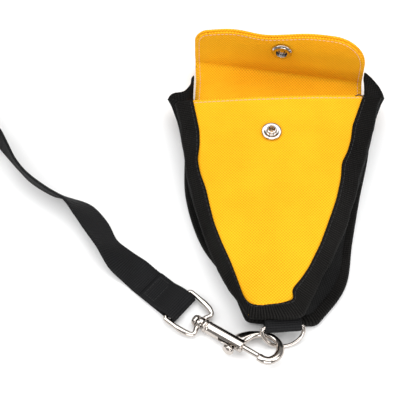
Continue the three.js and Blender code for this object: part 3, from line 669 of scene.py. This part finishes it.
def lead_line():
    """The lead's centreline from its end loop to the hand loop, and the way across its width."""
    route = np.array(LEAD_ROUTE)
    t = np.linspace(0, 1, 260)
    uncoiled = spline(route[:, :3], t)
    lean = np.radians(spline(route[:, 3:], t)[:, 0])
    turn = np.linspace(0, 2 * math.pi * COIL_TURNS, 700)
    angle = math.radians(COIL_START_ANGLE) + turn
    radius = COIL_START_RADIUS - COIL_PITCH * turn / (2 * math.pi)
    coil = np.column_stack([COIL_CENTRE[0] + radius * np.cos(angle),
                            COIL_CENTRE[1] + radius * np.sin(angle), np.full(turn.shape, COIL_Z)])
    under_bar = np.array((*lead_frame.translation[:2], LEAD_ROUTE[0][2] - 0.1))
    first = np.linspace(0, 1, 30)[:-1, None]
    last = np.linspace(0, 1, 22)[1:-1, None]
    line = np.vstack([under_bar * (1 - first) + uncoiled[0] * first, uncoiled,
                      uncoiled[-1] * (1 - last) + coil[0] * last, coil])
    lean = np.concatenate([np.zeros(len(first)), lean,
                           np.full(len(line) - len(first) - len(t), math.pi / 2)])
    go = unit(np.gradient(line, axis=0))
    flat = unit(np.column_stack([go[:, 1], -go[:, 0], np.zeros(len(line))]))
    across = flat * np.cos(lean)[:, None]
    across[:, 2] -= np.sin(lean)
    return line, across


def lead_end():
    """The webbing's end, which comes up round the eye's bar and lies sewn on top of the lead."""
    angle = np.linspace(-math.pi / 2, -3 * math.pi / 2, 17)
    reach = EYE_WIRE + WEBBING_SPACE + WEBBING / 2
    section = [(reach * math.cos(a) - FOLD_SLACK, reach * math.sin(a)) for a in angle]
    section += FOLD_DOWN + [(x, SEWN_Z) for x in SEWN_RUN]
    line = spline([(x, 0, z) for x, z in section], np.linspace(0, 1, 90))
    webbing_piece("lead_end_fold", line, (0, 1, 0), "lead", ["lead_end_loop"], lead_frame)
    (near, far), side = SEWN_BOX
    box = np.array([(x, y, SEWN_Z + WEBBING / 2) for x, y in (
        (near, -side), (far, -side), (far, side), (near, side), (near, -side))])
    along = lengths(box)
    path = values_at(np.linspace(0, along[-1], 80), along, box)
    stitches("lead_end_stitches", moved(path, lead_frame), (0, 0, 1), black_thread,
             "black_webbing", "lead", pitch=2.2, radius=0.14)


def hand_loop():
    """A closed loop of webbing that stands on its edge, sewn to the lead's other end."""
    turn = np.linspace(0, 2 * math.pi, 181)
    at = math.radians(HAND_LOOP_ANGLE)
    x = COIL_CENTRE[0] + HAND_LOOP_OFFSET * math.cos(at) + HAND_LOOP_RADIUS * np.cos(turn + at)
    y = COIL_CENTRE[1] + HAND_LOOP_OFFSET * math.sin(at) + HAND_LOOP_RADIUS * np.sin(turn + at)
    line = np.column_stack([x, y, np.full(turn.shape, COIL_Z)])
    return webbing_piece("hand_loop_webbing", line, (0, 0, 1), "lead", ["hand_loop"])


lead_frame = Matrix.Translation(EYE_BAR) @ Matrix.Rotation(math.radians(EYE_HEADING), 4, "Z")
line, across = lead_line()
lead = webbing_piece("lead_webbing", line, across, "lead", ["lead_run", "lead_coil"])
lead_end()
loop = hand_loop()


# ---- the rim

def around(left, right, t):
    """Points at t along the rim: 0 at the mouth's left end, 1 at its right end, and the narrow
    end between."""
    t = np.atleast_1d(t)
    lower_left, lower_right = spline(left, [1.0])[0], spline(right, [1.0])[0]
    down = spline(left, np.clip(t / SIDE_SHARE, 0, 1)**MOUTH_CROWDING)
    up = spline(right, np.clip((1 - t) / SIDE_SHARE, 0, 1)**MOUTH_CROWDING)
    across = np.clip((t - SIDE_SHARE) / (1 - 2 * SIDE_SHARE), 0, 1)[:, None]
    end = lower_left * (1 - across) + lower_right * across
    end = np.where((t > 1 - SIDE_SHARE)[:, None], up, end)
    return np.where((t < SIDE_SHARE)[:, None], down, end)


def eased(line, times=6):
    """The line with its corners rounded off, both ends kept."""
    for _ in range(times):
        line = line.copy()
        line[1:-1] = (line[:-2] + 2 * line[1:-1] + line[2:]) / 4
    return line


T = np.linspace(0, 1, 361)  # the rim's stations


def back_lift(y):
    return MOUTH_LIFT * smooth(y, *LIFT_BETWEEN_Y)


def flat_to_back(p):
    """(x, y) points on the back panel's upper face."""
    return np.column_stack([p[:, 0], p[:, 1], BACK_TOP + back_lift(p[:, 1])])


front_seam = eased(around(FRONT_LEFT_SEAM, FRONT_RIGHT_SEAM, T))
front_edge = eased(around(FRONT_LEFT_EDGE, FRONT_RIGHT_EDGE, T))
back_seam = flat_to_back(eased(around(BACK_LEFT_SEAM, BACK_RIGHT_SEAM, T)))
back_edge = flat_to_back(eased(around(BACK_LEFT_EDGE, BACK_RIGHT_EDGE, T)))
bulge = around(list(enumerate(LEFT_BULGE)), list(enumerate(RIGHT_BULGE)), T)[:, 1]
outward = unit((front_edge - front_seam) * (1, 1, 0))
RIM_LENGTH = lengths(front_seam)


def rim_uv(p):
    """How far each grid point is along the rim, and across the cloth."""
    along = np.broadcast_to(RIM_LENGTH[:, None], p.shape[:2])
    return np.stack([along, grid_lengths(p, 1)], axis=-1)


# ---- the panels

def panel_grid(rows, margins, count, shape):
    """A panel's grid of points. rows are its left and right seams and its left and right edges,
    and the margins lie between. shape(column, w) bends the column that is w across the middle."""
    left, right, left_edge, right_edge = rows
    columns = [left * (1 - w) + left_edge * w for w in margins]
    for w in np.linspace(0, 1, count):
        columns.append(shape(left * (1 - w) + right * w, w))
    columns += [right * (1 - w) + right_edge * w for w in margins[::-1]]
    p = np.stack(columns, axis=1)
    p[..., 2] -= CANVAS / 2
    return p


def front_panel():
    """The yellow front, from hem to narrow end, with its margins turned down under the tape."""
    def crowned(column, w):
        return column + (0, 0, FRONT_CROWN * math.sin(math.pi * w))

    margins = (0.9, 0.6, 0.3)
    rows = [spline(row, np.linspace(0, 1, 121)) for row in (
        FRONT_LEFT_SEAM, FRONT_RIGHT_SEAM, FRONT_LEFT_EDGE, FRONT_RIGHT_EDGE)]
    p = panel_grid(rows, margins, 57, crowned)
    column = np.arange(p.shape[1])
    inside = smooth(np.minimum(column, column[::-1]), len(margins), 12)
    p[..., 2] += inside * ripples(p[..., 0], p[..., 1], FRONT_RIPPLES)
    p[..., 2] -= 0.5 * (1 - inside) * smooth(-p[..., 1], 60, 72)  # the narrow end's rim is pressed
    hem = np.exp(-(grid_lengths(p, 0) / HEM_FADE)**2)
    cloth_piece("front_cloth", p, CANVAS * (1 + HEM_EXTRA * hem), p[..., :2], yellow,
                "yellow_canvas", "pouch", ["front_panel"])
    return p


def back_panel():
    """The yellow back, which sinks to the floor between its seams."""
    def sunk(column, w):
        from_seam = min(w, 1 - w) * PANEL_WIDTH
        sink = (BACK_TOP - CANVAS - FLOOR_GAP) * smooth(from_seam, 0, 7)
        column[:, 2] -= sink * smooth(column[:, 1], -73, -66)
        return column

    rows = [flat_to_back(spline(row, np.linspace(0, 1, 81))) for row in (
        BACK_LEFT_SEAM, BACK_RIGHT_SEAM, BACK_LEFT_EDGE, BACK_RIGHT_EDGE)]
    p = panel_grid(rows, (0.9, 0.45), 41, sunk)
    cloth_piece("back_cloth", p, CANVAS, p[..., :2], yellow, "yellow_canvas", "pouch",
                ["back_panel"])


# ---- the bindings

FOLD_FLATNESS = 0.55  # of the tape's fold: 1 would be half round


def tape_rows(seam, edge, outline):
    """The tape's middle surface: outline is (way from seam to edge, height, millimetres past the
    edge) for each column."""
    out = unit((edge - seam) * (1, 1, 0))
    columns = [seam * (1 - way) + edge * way + out * past + np.array((0, 0, height))
               for way, height, past in outline]
    return np.stack(columns, axis=1)


def folded(top_from, top, bottom, bottom_from, steps=7):
    """A folded tape's outline from the top leaf's edge round the fold to the bottom leaf's."""
    radius = (top - bottom) / 2
    middle = (top + bottom) / 2
    outline = [(way, top, 0) for way in np.linspace(top_from, 1, steps)]
    for angle in np.linspace(math.pi / 2, -math.pi / 2, 7)[1:-1]:
        past = FOLD_FLATNESS * radius * math.cos(angle)
        outline.append((1, middle + radius * math.sin(angle), past))
    outline += [(way, bottom, 0) for way in np.linspace(1, bottom_from, steps)]
    return outline


def wandering_seam():
    """The front tape's inner edge, which wanders across the panel as hand-fed tape does."""
    seam = front_seam.copy()
    left, right = np.array(TAPE_LEFT), np.array(TAPE_RIGHT)
    for k, (_, y, _) in enumerate(front_seam):
        if T[k] < SIDE_SHARE:
            seam[k, 0] = np.interp(-y, -left[:, 1], left[:, 0])
        elif T[k] > 1 - SIDE_SHARE:
            seam[k, 0] = np.interp(-y, -right[:, 1], right[:, 0])
    return eased(seam, 10)


def front_binding():
    """Tape folded over the front panel's edge. It is loose round its fold, and more so where it
    is gathered at the narrow end."""
    top = GAP + TAPE / 2
    bottom = -2 * CANVAS - 3 * GAP - TAPE / 2
    p = tape_rows(wandering_seam(), front_edge, folded(0, top, bottom, 0.42))
    along = RIM_LENGTH[:, None]
    across = np.arange(p.shape[1])[None, :]
    loose = smooth(across, 2, 7) * (1 - smooth(across, 13, 17))
    gathered = 1 + 1.5 * np.exp(-((T[:, None] - 0.5) / 0.08)**2)
    p[..., 2] += loose * gathered * ripples(along, across, TAPE_RISES)
    swing = loose * gathered * ripples(along, across, TAPE_SWINGS)
    p += outward[:, None] * swing[..., None]
    sewn = p[:, 1] + (0, 0, TAPE * 0.5)
    stitches("tape_stitches", sewn, (0, 0, 1), black_thread, "black_tape", "pouch", pitch=2.8,
             radius=0.2)
    cloth_piece("front_tape", p, TAPE, rim_uv(p), tape_cloth, "black_tape", "pouch",
                ["front_binding"])


def back_binding():
    top = 2.5 * GAP + CANVAS + TAPE / 2
    bottom = -CANVAS - GAP - TAPE / 2
    p = tape_rows(back_seam, back_edge, folded(0.3, top, bottom, 0.15))
    cloth_piece("back_tape", p, TAPE, rim_uv(p), tape_cloth, "black_tape", "pouch",
                ["back_binding"])


# ---- the gusset

# How it lies in each binding: (way from seam to edge, height, way out past that).
IN_FRONT_TAPE = [(0.93, 0, 0), (0.5, 0, 0), (0.14, 0, 0), (0.14, -1, -0.8), (0.14, -2.2, -0.3)]
IN_BACK_TAPE = [(0.12, 2, -0.3), (0.12, 0.9, -0.7), (0.12, 0, 0), (0.93, 0, 0)]


def gusset():
    """The black side wall: out of the front binding, round its bulge, into the back binding."""
    def sewn(seam, edge, level, way, height, out=0):
        return seam * (1 - way) + edge * way + (0, 0, level + height) + out * outward

    front = (front_seam, front_edge, -CANVAS - 1.5 * GAP - CANVAS / 2)
    back = (back_seam, back_edge, GAP + CANVAS / 2)
    under_tape, over_tape = sewn(*front, 0.4, -3.1), sewn(*back, 0.3, 2.7)
    controls = [sewn(*front, *place) for place in IN_FRONT_TAPE]
    for i, corners in enumerate(zip(LEFT_MOUTH, RIGHT_MOUTH)):
        way = i / (len(LEFT_MOUTH) - 1)
        swell = bulge * math.sin(math.pi * way)**0.8
        row = under_tape + (over_tape - under_tape) * way + outward * swell[:, None]
        for end, corner in zip((0, -1), corners):
            shift = np.array(corner) - row[end]
            from_end = np.linalg.norm(front_seam - front_seam[end], axis=1)
            shifted = row + shift * np.exp(-from_end / MOUTH_FADE)[:, None]
            shifted[:, 2] += (back_lift(shifted[:, 1]) - back_lift(row[:, 1])) * way
            row = shifted
        controls.append(row)
    controls = np.stack(controls + [sewn(*back, *place) for place in IN_BACK_TAPE], axis=1)
    across = np.linspace(0, 1, 65)
    p = np.stack([spline(section, across) for section in controls])
    normal = unit(np.cross(np.gradient(p, axis=0), np.gradient(p, axis=1)))
    free = smooth(across, 0.28, 0.42) * (1 - smooth(across, 0.66, 0.8))
    creases = ripples(RIM_LENGTH[:, None], across * GUSSET_WIDTH, GUSSET_CREASES)
    p += normal * (free[None, :] * creases)[..., None]
    from_mouth = np.minimum(RIM_LENGTH, RIM_LENGTH[-1] - RIM_LENGTH)
    hem = 1 + 0.8 * np.exp(-(from_mouth / 2.5)**2)[:, None] * free[None, :]
    cloth_piece("gusset_cloth", p, CANVAS * hem, rim_uv(p), black_cloth, "black_canvas", "pouch",
                ["gusset"])


# ---- the flap

flap_frame = Matrix.Translation(FLAP_HINGE) @ Matrix.Rotation(FLAP_SKEW, 4, "Z")


def flap_bend(x):
    """Where the flap bends at x: the bend's start behind the hinge line, and its inside radius."""
    across = (x - FLAP_CENTRE_X) / (2 * FLAP_HALF_WIDTH) + 0.5
    return (FLAP_FLOOR[0] + (FLAP_FLOOR[1] - FLAP_FLOOR[0]) * across,
            FLAP_BEND[0] + (FLAP_BEND[1] - FLAP_BEND[0]) * across)


def flap_point(x, s, depth):
    """Points of the flap, s along its length from the hinge, depth below its inner face. The
    cloth is pressed into a sharper crease within the solid model's bend. It curls and waves
    towards its free edge, and lies flat round the snap."""
    floor, radius = flap_bend(x)
    flat = radius - FLAP_CREASE
    quarter = math.pi / 2
    t = np.clip((s - floor) / (radius * quarter), 0, 1) * (2 * flat + FLAP_CREASE * quarter)
    angle = np.clip((t - flat) / FLAP_CREASE, 0, quarter)
    rise = (np.maximum(t - flat - FLAP_CREASE * quarter, 0)
            + np.maximum(s - floor - radius * quarter, 0))
    y = np.minimum(s, floor) + np.minimum(t, flat) + (FLAP_CREASE + depth) * np.sin(angle)
    z = FLAP_LIFT + FLAP_CREASE - (FLAP_CREASE + depth) * np.cos(angle) + rise
    from_snap = (x - SOCKET_X)**2 + (s - SOCKET_S)**2
    up = smooth(s, floor + 4, FLAP_LENGTH) * (1 - np.exp(-from_snap / 90))
    curl = 1.5 * np.sin((x + 46) * 0.115) * np.exp(-((x + 20) / 26)**2)
    y = y + up * (curl + ripple(x, s, *FLAP_RIPPLE))
    z = z + up * 0.9 * np.sin((x + 38) * 0.13)
    return moved(np.stack([x, y, z], axis=-1), flap_frame)


def flap_sides(s, inset):
    """The flap's left and right edges at s, drawn in by inset."""
    edges = []
    for sign, (width, height) in ((-1, FLAP_CORNER_LEFT), (1, FLAP_CORNER_RIGHT)):
        into = np.maximum(s - (FLAP_LENGTH - height), 0) / (height - inset)
        turn = (width - inset) * np.sqrt(np.maximum(1 - into**2, 0))
        edges.append(FLAP_CENTRE_X + sign * (FLAP_HALF_WIDTH - width + turn))
    edges[0] = edges[0] - FLAP_BOW * smooth(s, 16, 36)
    return edges


def flap_layer(name, depth, inset, node):
    """One layer of the flap, from the hinge to the free edge."""
    start = 0.6
    down = np.linspace(0, 1, 101)
    s = start + (FLAP_LENGTH - inset - start) * np.sin(down * math.pi / 2)**0.95
    left, right = flap_sides(s, inset)
    w = np.linspace(0, 1, 85)
    x = left[:, None] * (1 - w) + right[:, None] * w
    s = np.broadcast_to(s[:, None], x.shape)
    p = flap_point(x, s, depth + CANVAS / 2)
    made = cloth_piece(name, p, CANVAS, np.stack([x, s], axis=-1), yellow, "yellow_canvas", "flap",
                       [node])


# ---- the snap fastener

def circle(radius, count):
    angle = np.linspace(0, 2 * math.pi, count, endpoint=False)
    return np.column_stack([radius * np.cos(angle), radius * np.sin(angle), np.zeros(count)])


def eyelet(flange, depth, thickness):
    return turned([(1, 0), (flange - 0.4, 0), (flange, thickness / 2), (flange - 0.4, thickness),
                   (1.6, thickness), (1.6, depth), (1, depth)], 0.15)


def snap_fastener():
    at = Matrix.Rotation(FLAP_SKEW, 4, "Z") @ Vector(STUD_AT) + Vector(FLAP_HINGE)
    seat = Matrix.Translation(at)
    stud = turned([(1.95, 0), (5.5, 0), (5.8, 0.4), (5.5, 1), (4.6, 1.1), (3.1, 0.7), (2.5, 1.1),
                   (2.5, 1.7), (2.9, 2.3), (2.7, 2.9), (1.95, 3.1)])
    metal_piece("stud", stud, seat, "pouch", ["snap_stud"])
    under = Matrix.Translation((0, 0, -CANVAS - 1.5))
    metal_piece("stud_eyelet", eyelet(4.6, 2.6, 0.5), seat @ under, "pouch", ["snap_stud_eyelet"])

    floor, radius = flap_bend(SOCKET_X)
    drop = sum(pair[0] - pair[1] for pair in (FLAP_FLOOR, FLAP_BEND))
    turn = -math.atan(drop / (2 * FLAP_HALF_WIDTH))
    wall = (flap_frame @ Matrix.Translation((SOCKET_X, floor + radius, SOCKET_RISE))
            @ Matrix.Rotation(turn, 4, "Z") @ Matrix.Rotation(math.pi / 2, 4, "X"))
    socket = turned([(1.95, 0), (5.6, 0), (6.1, 0.5), (6.1, 1.5), (5.2, 2.6), (3.4, 2.6),
                     (3.3, 2.1), (4.3, 1.9), (4.3, 0.9), (1.95, 0.8)])
    metal_piece("socket", socket, wall @ Matrix.Translation((0, 0, GAP)), "flap", ["snap_socket"])
    spring = tube(circle(3.7, 72), 0.35, 12, ring=True)
    metal_piece("socket_spring", spring, wall @ Matrix.Translation((0, 0, GAP + 1.4)), "flap",
                ["snap_socket_spring"], steel, "spring_steel")
    cap = turned([(0, 1.6), (3, 1.4), (5.2, 0.8), (6.2, 0), (5.4, -0.3), (1.6, -0.3),
                  (1.6, -4.4), (0, -4.4)])
    far = Matrix.Translation((0, 0, -2 * (CANVAS + GAP) - GAP)) @ Matrix.Rotation(math.pi, 4, "X")
    metal_piece("cap", cap, wall @ far, "flap", ["snap_cap"])


# ---- D-ring and tab

def arc(centre, radii, start, end, count=24):
    angle = np.radians(np.linspace(start, end, count))
    return np.column_stack([centre[0] + radii[0] * np.cos(angle),
                            centre[1] + radii[1] * np.sin(angle), np.zeros(count)])


def evened(path, count, closed=True):
    """A path with count points the same distance apart."""
    if closed:
        path = np.vstack([path, path[:1]])
    along = lengths(path)
    return values_at(np.linspace(0, along[-1], count, endpoint=not closed), along, path)


def d_ring():
    """A straight bar with rounded corners, closed by a half round bow."""
    half, corner = D_RING_HALF_WIDTH, 2
    path = np.vstack([arc((half - corner, -corner), (corner, corner), 90, 0, 12),
                      arc((0, -corner), (half, D_RING_DEPTH - corner), 0, -180, 60)[1:],
                      arc((corner - half, -corner), (corner, corner), 180, 90, 12)[1:]])
    ring = tube(evened(path, 160), D_RING_WIRE, 20, ring=True)
    metal_piece("ring", ring, turn_matrix(D_RING_AT, D_RING_TURN), "d_ring", ["d_ring"])


def ring_tab():
    """Webbing folded round the D-ring's bar, with its ends in the pouch's end seam."""
    thick = WEBBING - 0.1
    reach = D_RING_WIRE + WEBBING_SPACE + thick / 2
    angle = np.radians(np.linspace(90, 270, 21))
    section = [(y, reach) for y in TAB_ENDS]
    section += [(reach * math.cos(a), reach * math.sin(a)) for a in angle]
    section += [(y, -reach) for y in TAB_ENDS[::-1]]
    line = spline([(0, y, z) for y, z in section], np.linspace(0, 1, 60))
    at = turn_matrix(D_RING_AT, (0, *D_RING_TURN[1:]))
    webbing_piece("ring_tab", line, (1, 0, 0), "pouch", ["d_ring_tab"], at, thick, TAB_WIDTH)


# ---- the swivel bolt snap

def carved(part, low, high):
    """A closed (vertices, faces) with the box from low to high cut out of it."""
    made = []
    box = [(x, y, z) for x in (low[0], high[0]) for y in (low[1], high[1]) for z in (low[2], high[2])]
    sides = [(0, 1, 3, 2), (4, 6, 7, 5), (0, 4, 5, 1), (2, 3, 7, 6), (0, 2, 6, 4), (1, 5, 7, 3)]
    for vertices, faces in (part, (box, sides)):
        data = bpy.data.meshes.new("cut")
        data.from_pydata([tuple(v) for v in vertices], [], faces)
        made.append(new_object("cut", data))
    cut = made[0].modifiers.new("cut", "BOOLEAN")
    cut.object = made[1]
    cut.solver = "EXACT"
    shown = made[0].evaluated_get(bpy.context.evaluated_depsgraph_get())
    data = shown.to_mesh()
    vertices = np.array([tuple(vertex.co) for vertex in data.vertices])
    faces = [tuple(face.vertices) for face in data.polygons]
    shown.to_mesh_clear()
    for thing in made:
        bpy.data.objects.remove(thing)
    return vertices, faces


# The bow's middle line, (x, y) from the barrel's back end.
BOW = [(19.2, 2.6), (20.4, 5.6), (22.8, 9.4), (26.2, 12.5), (30.2, 14.4), (34.6, 14.5),
       (38.4, 12.6), (40.9, 9.1), (41.3, 4.7), (39.5, 0.9), (36.6, -0.5), (33.9, -0.5)]
BOLT_SPACE = ((12, -6, -6), (24, 2.2, 6))  # cut out of the bow's root, for the bolt
TIP_SPACE = ((30, -6, -6), (33.6, 6, 6))  # cut off the bow's tip, which the bolt closes on
KNOB_SLOT = ((9.2, -5.4, -1.3), (19.8, -1.4, 1.3))
KNOB_X = 17.8
SPRING_FROM, SPRING_TO = 4.5, 15.6
SPRING_TURNS = 5
SPRING_RADIUS = 1.55
SPRING_WIRE = 0.25


def snap_hook():
    at = turn_matrix(HOOK_AT, HOOK_TURN)
    along = Matrix.Rotation(math.pi / 2, 4, "Y")  # turned pieces are laid along the barrel
    front = BARREL_LENGTH
    barrel = turned([(1.8, -1.6), (3.6, -1.6), (3.8, -1.2), (3.8, -0.4), (3.2, 0), (3.2, 0.4),
                     (3.7, 0.7), (3.7, 1.4), (BARREL_RADIUS, 1.8), (BARREL_RADIUS, front - 0.4),
                     (BARREL_RADIUS - 0.4, front), (1.8, front), (1.8, front - 1.4),
                     (2.2, front - 1.4), (2.2, 4), (1.8, 4)], 0.2)
    barrel = carved(placed(barrel, along), *KNOB_SLOT)
    t = np.linspace(0, 1, 120)
    flare = 1 - smooth(t, 0, 0.3)
    heavy = smooth(t, 0.45, 0.66)
    thick = np.column_stack([HOOK_ROD * (0.84 + 1.15 * flare + 0.31 * heavy),
                             HOOK_ROD * (0.9 + 0.4 * flare + 0.08 * heavy)])
    bow = tube(spline([(x, y, 0) for x, y in BOW], t), thick, 24)
    bow = carved(carved(bow, *BOLT_SPACE), *TIP_SPACE)
    metal_piece("hook", joined(barrel, bow), at, "hook", ["hook_body"])
    post = turned([(0, -9.6), (1.6, -9.4), (2.8, -8.6), (3.3, -7.4), (3.3, -6.2), (1.4, -6.2),
                   (1.4, 3.6), (0, 3.6)])
    metal_piece("post", post, at @ along, "hook", ["swivel_post"])
    bolt = turned([(0, 16.2), (1.9, 16.2), (1.9, 19.4), (1.5, 19.4), (1.5, 33), (1.2, 33.3),
                   (0, 33.3)])
    metal_piece("bolt", bolt, at @ along, "trigger", ["trigger_bolt"])
    knob = turned([(0, 2.25), (1.1, 2.25), (1.1, 5), (2.9, 5.2), (3.3, 6.1), (2.9, 7.2),
                   (1.4, 7.9), (0, 8)])
    side = Matrix.Translation((KNOB_X, 0, 0)) @ Matrix.Rotation(math.pi / 2, 4, "X")
    metal_piece("knob", knob, at @ side, "trigger", ["thumb_knob"])

    t = np.linspace(0, 1, 200)
    angle = 2 * math.pi * SPRING_TURNS * t
    coil = np.column_stack([SPRING_FROM + (SPRING_TO - SPRING_FROM) * t,
                            SPRING_RADIUS * np.cos(angle), SPRING_RADIUS * np.sin(angle)])
    spring = metal_piece("spring", tube(coil, SPRING_WIRE, 8), at, "hook", ["trigger_spring"],
                         steel, "spring_steel")
    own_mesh(spring)


def bezier(a, b, c, d, count=16):
    t = np.linspace(0, 1, count)[:, None]
    a, b, c, d = (np.array((*p, 0)) for p in (a, b, c, d))
    return (1 - t)**3 * a + 3 * t * (1 - t)**2 * b + 3 * t**2 * (1 - t) * c + t**3 * d


def swivel_eye():
    """A wire from one side of its boss, round by the lead's bar, to the boss's other side."""
    half, reach, corner = EYE_HALF_WIDTH, EYE_REACH, 1.5
    side = np.vstack([
        arc((reach - corner, half - corner), (corner, corner), 0, 90, 10),
        bezier((reach - corner, half), (9, half), (-1.5, half - 0.6), (-1.2, half - 3.6))[1:],
        bezier((-1.2, half - 3.6), (-1, half - 6), (0, 5), (0, 3))[1:]])
    path = evened(np.vstack([side[::-1] * (1, -1, 1), side]), 200, closed=False)
    arm = smooth(path[:, 0], -1, 3) * (1 - smooth(path[:, 0], 6, 11))
    wire = tube(path, EYE_WIRE + 0.35 * arm, 18)
    boss = placed(turned([(1.95, -1.4), (3.3, -1.4), (3.5, 0), (3.3, 1.4), (1.95, 1.4)]),
                  Matrix.Rotation(math.pi / 2, 4, "Y"))
    at = lead_frame @ Matrix.Translation((-reach, 0, 0))
    metal_piece("eye", joined(wire, boss), at, "eye", ["swivel_eye"])


# ---- stitches and a loose thread on the yellow cloth

def flap_hem_stitches():
    """A row round the flap's two sides and its free edge."""
    rising = np.linspace(3, FLAP_LENGTH - HEM_INSET, 160)
    left, right = flap_sides(rising, HEM_INSET)
    hem = np.column_stack([np.concatenate([left, right[::-1]]),
                           np.concatenate([rising, rising[::-1]])])
    along = lengths(hem)
    x, s = values_at(np.linspace(0, along[-1], 700), along, hem).T
    row = flap_point(x, s, 0)
    stitches("flap_hem_stitches", row, unit(flap_point(x, s, -1) - row), pale_thread,
             "yellow_canvas", "flap", pitch=2.4, radius=0.22)


def front_hem_stitches(front):
    """A row below the mouth's edge of the front panel's grid of points."""
    hem = front[:, 2:-2]
    down = grid_lengths(hem, 0)
    below = 1.6
    row = np.vstack([values_at(below, down[:, k], hem[:, k]) for k in range(hem.shape[1])])
    row[:, 2] += CANVAS * 0.62
    stitches("front_hem_stitches", row, (0, 0, 1), pale_thread, "yellow_canvas", "pouch",
             pitch=2.6, radius=0.22)


def thread_end():
    """The loose end of a thread at the right of the front panel's hem."""
    rows = [(45.2, 53.4, 28.3), (47, 53.9, 28.6), (48.8, 53.2, 28.5), (50, 52, 28.6)]
    line = spline(rows, np.linspace(0, 1, 24))
    piece("thread_end", *tube(line, 0.26, 8), black_thread, "black_tape", "pouch")


# ---- assembly

front = front_panel()
back_panel()
front_binding()
back_binding()
gusset()
flap_layer("flap_lining_cloth", 0, 1, "flap_lining")
flap_layer("flap_outer_cloth", CANVAS + 0.15, 0, "flap_outer")

snap_fastener()
d_ring()
ring_tab()
snap_hook()
swivel_eye()

flap_hem_stitches()
front_hem_stitches(front)
thread_end()
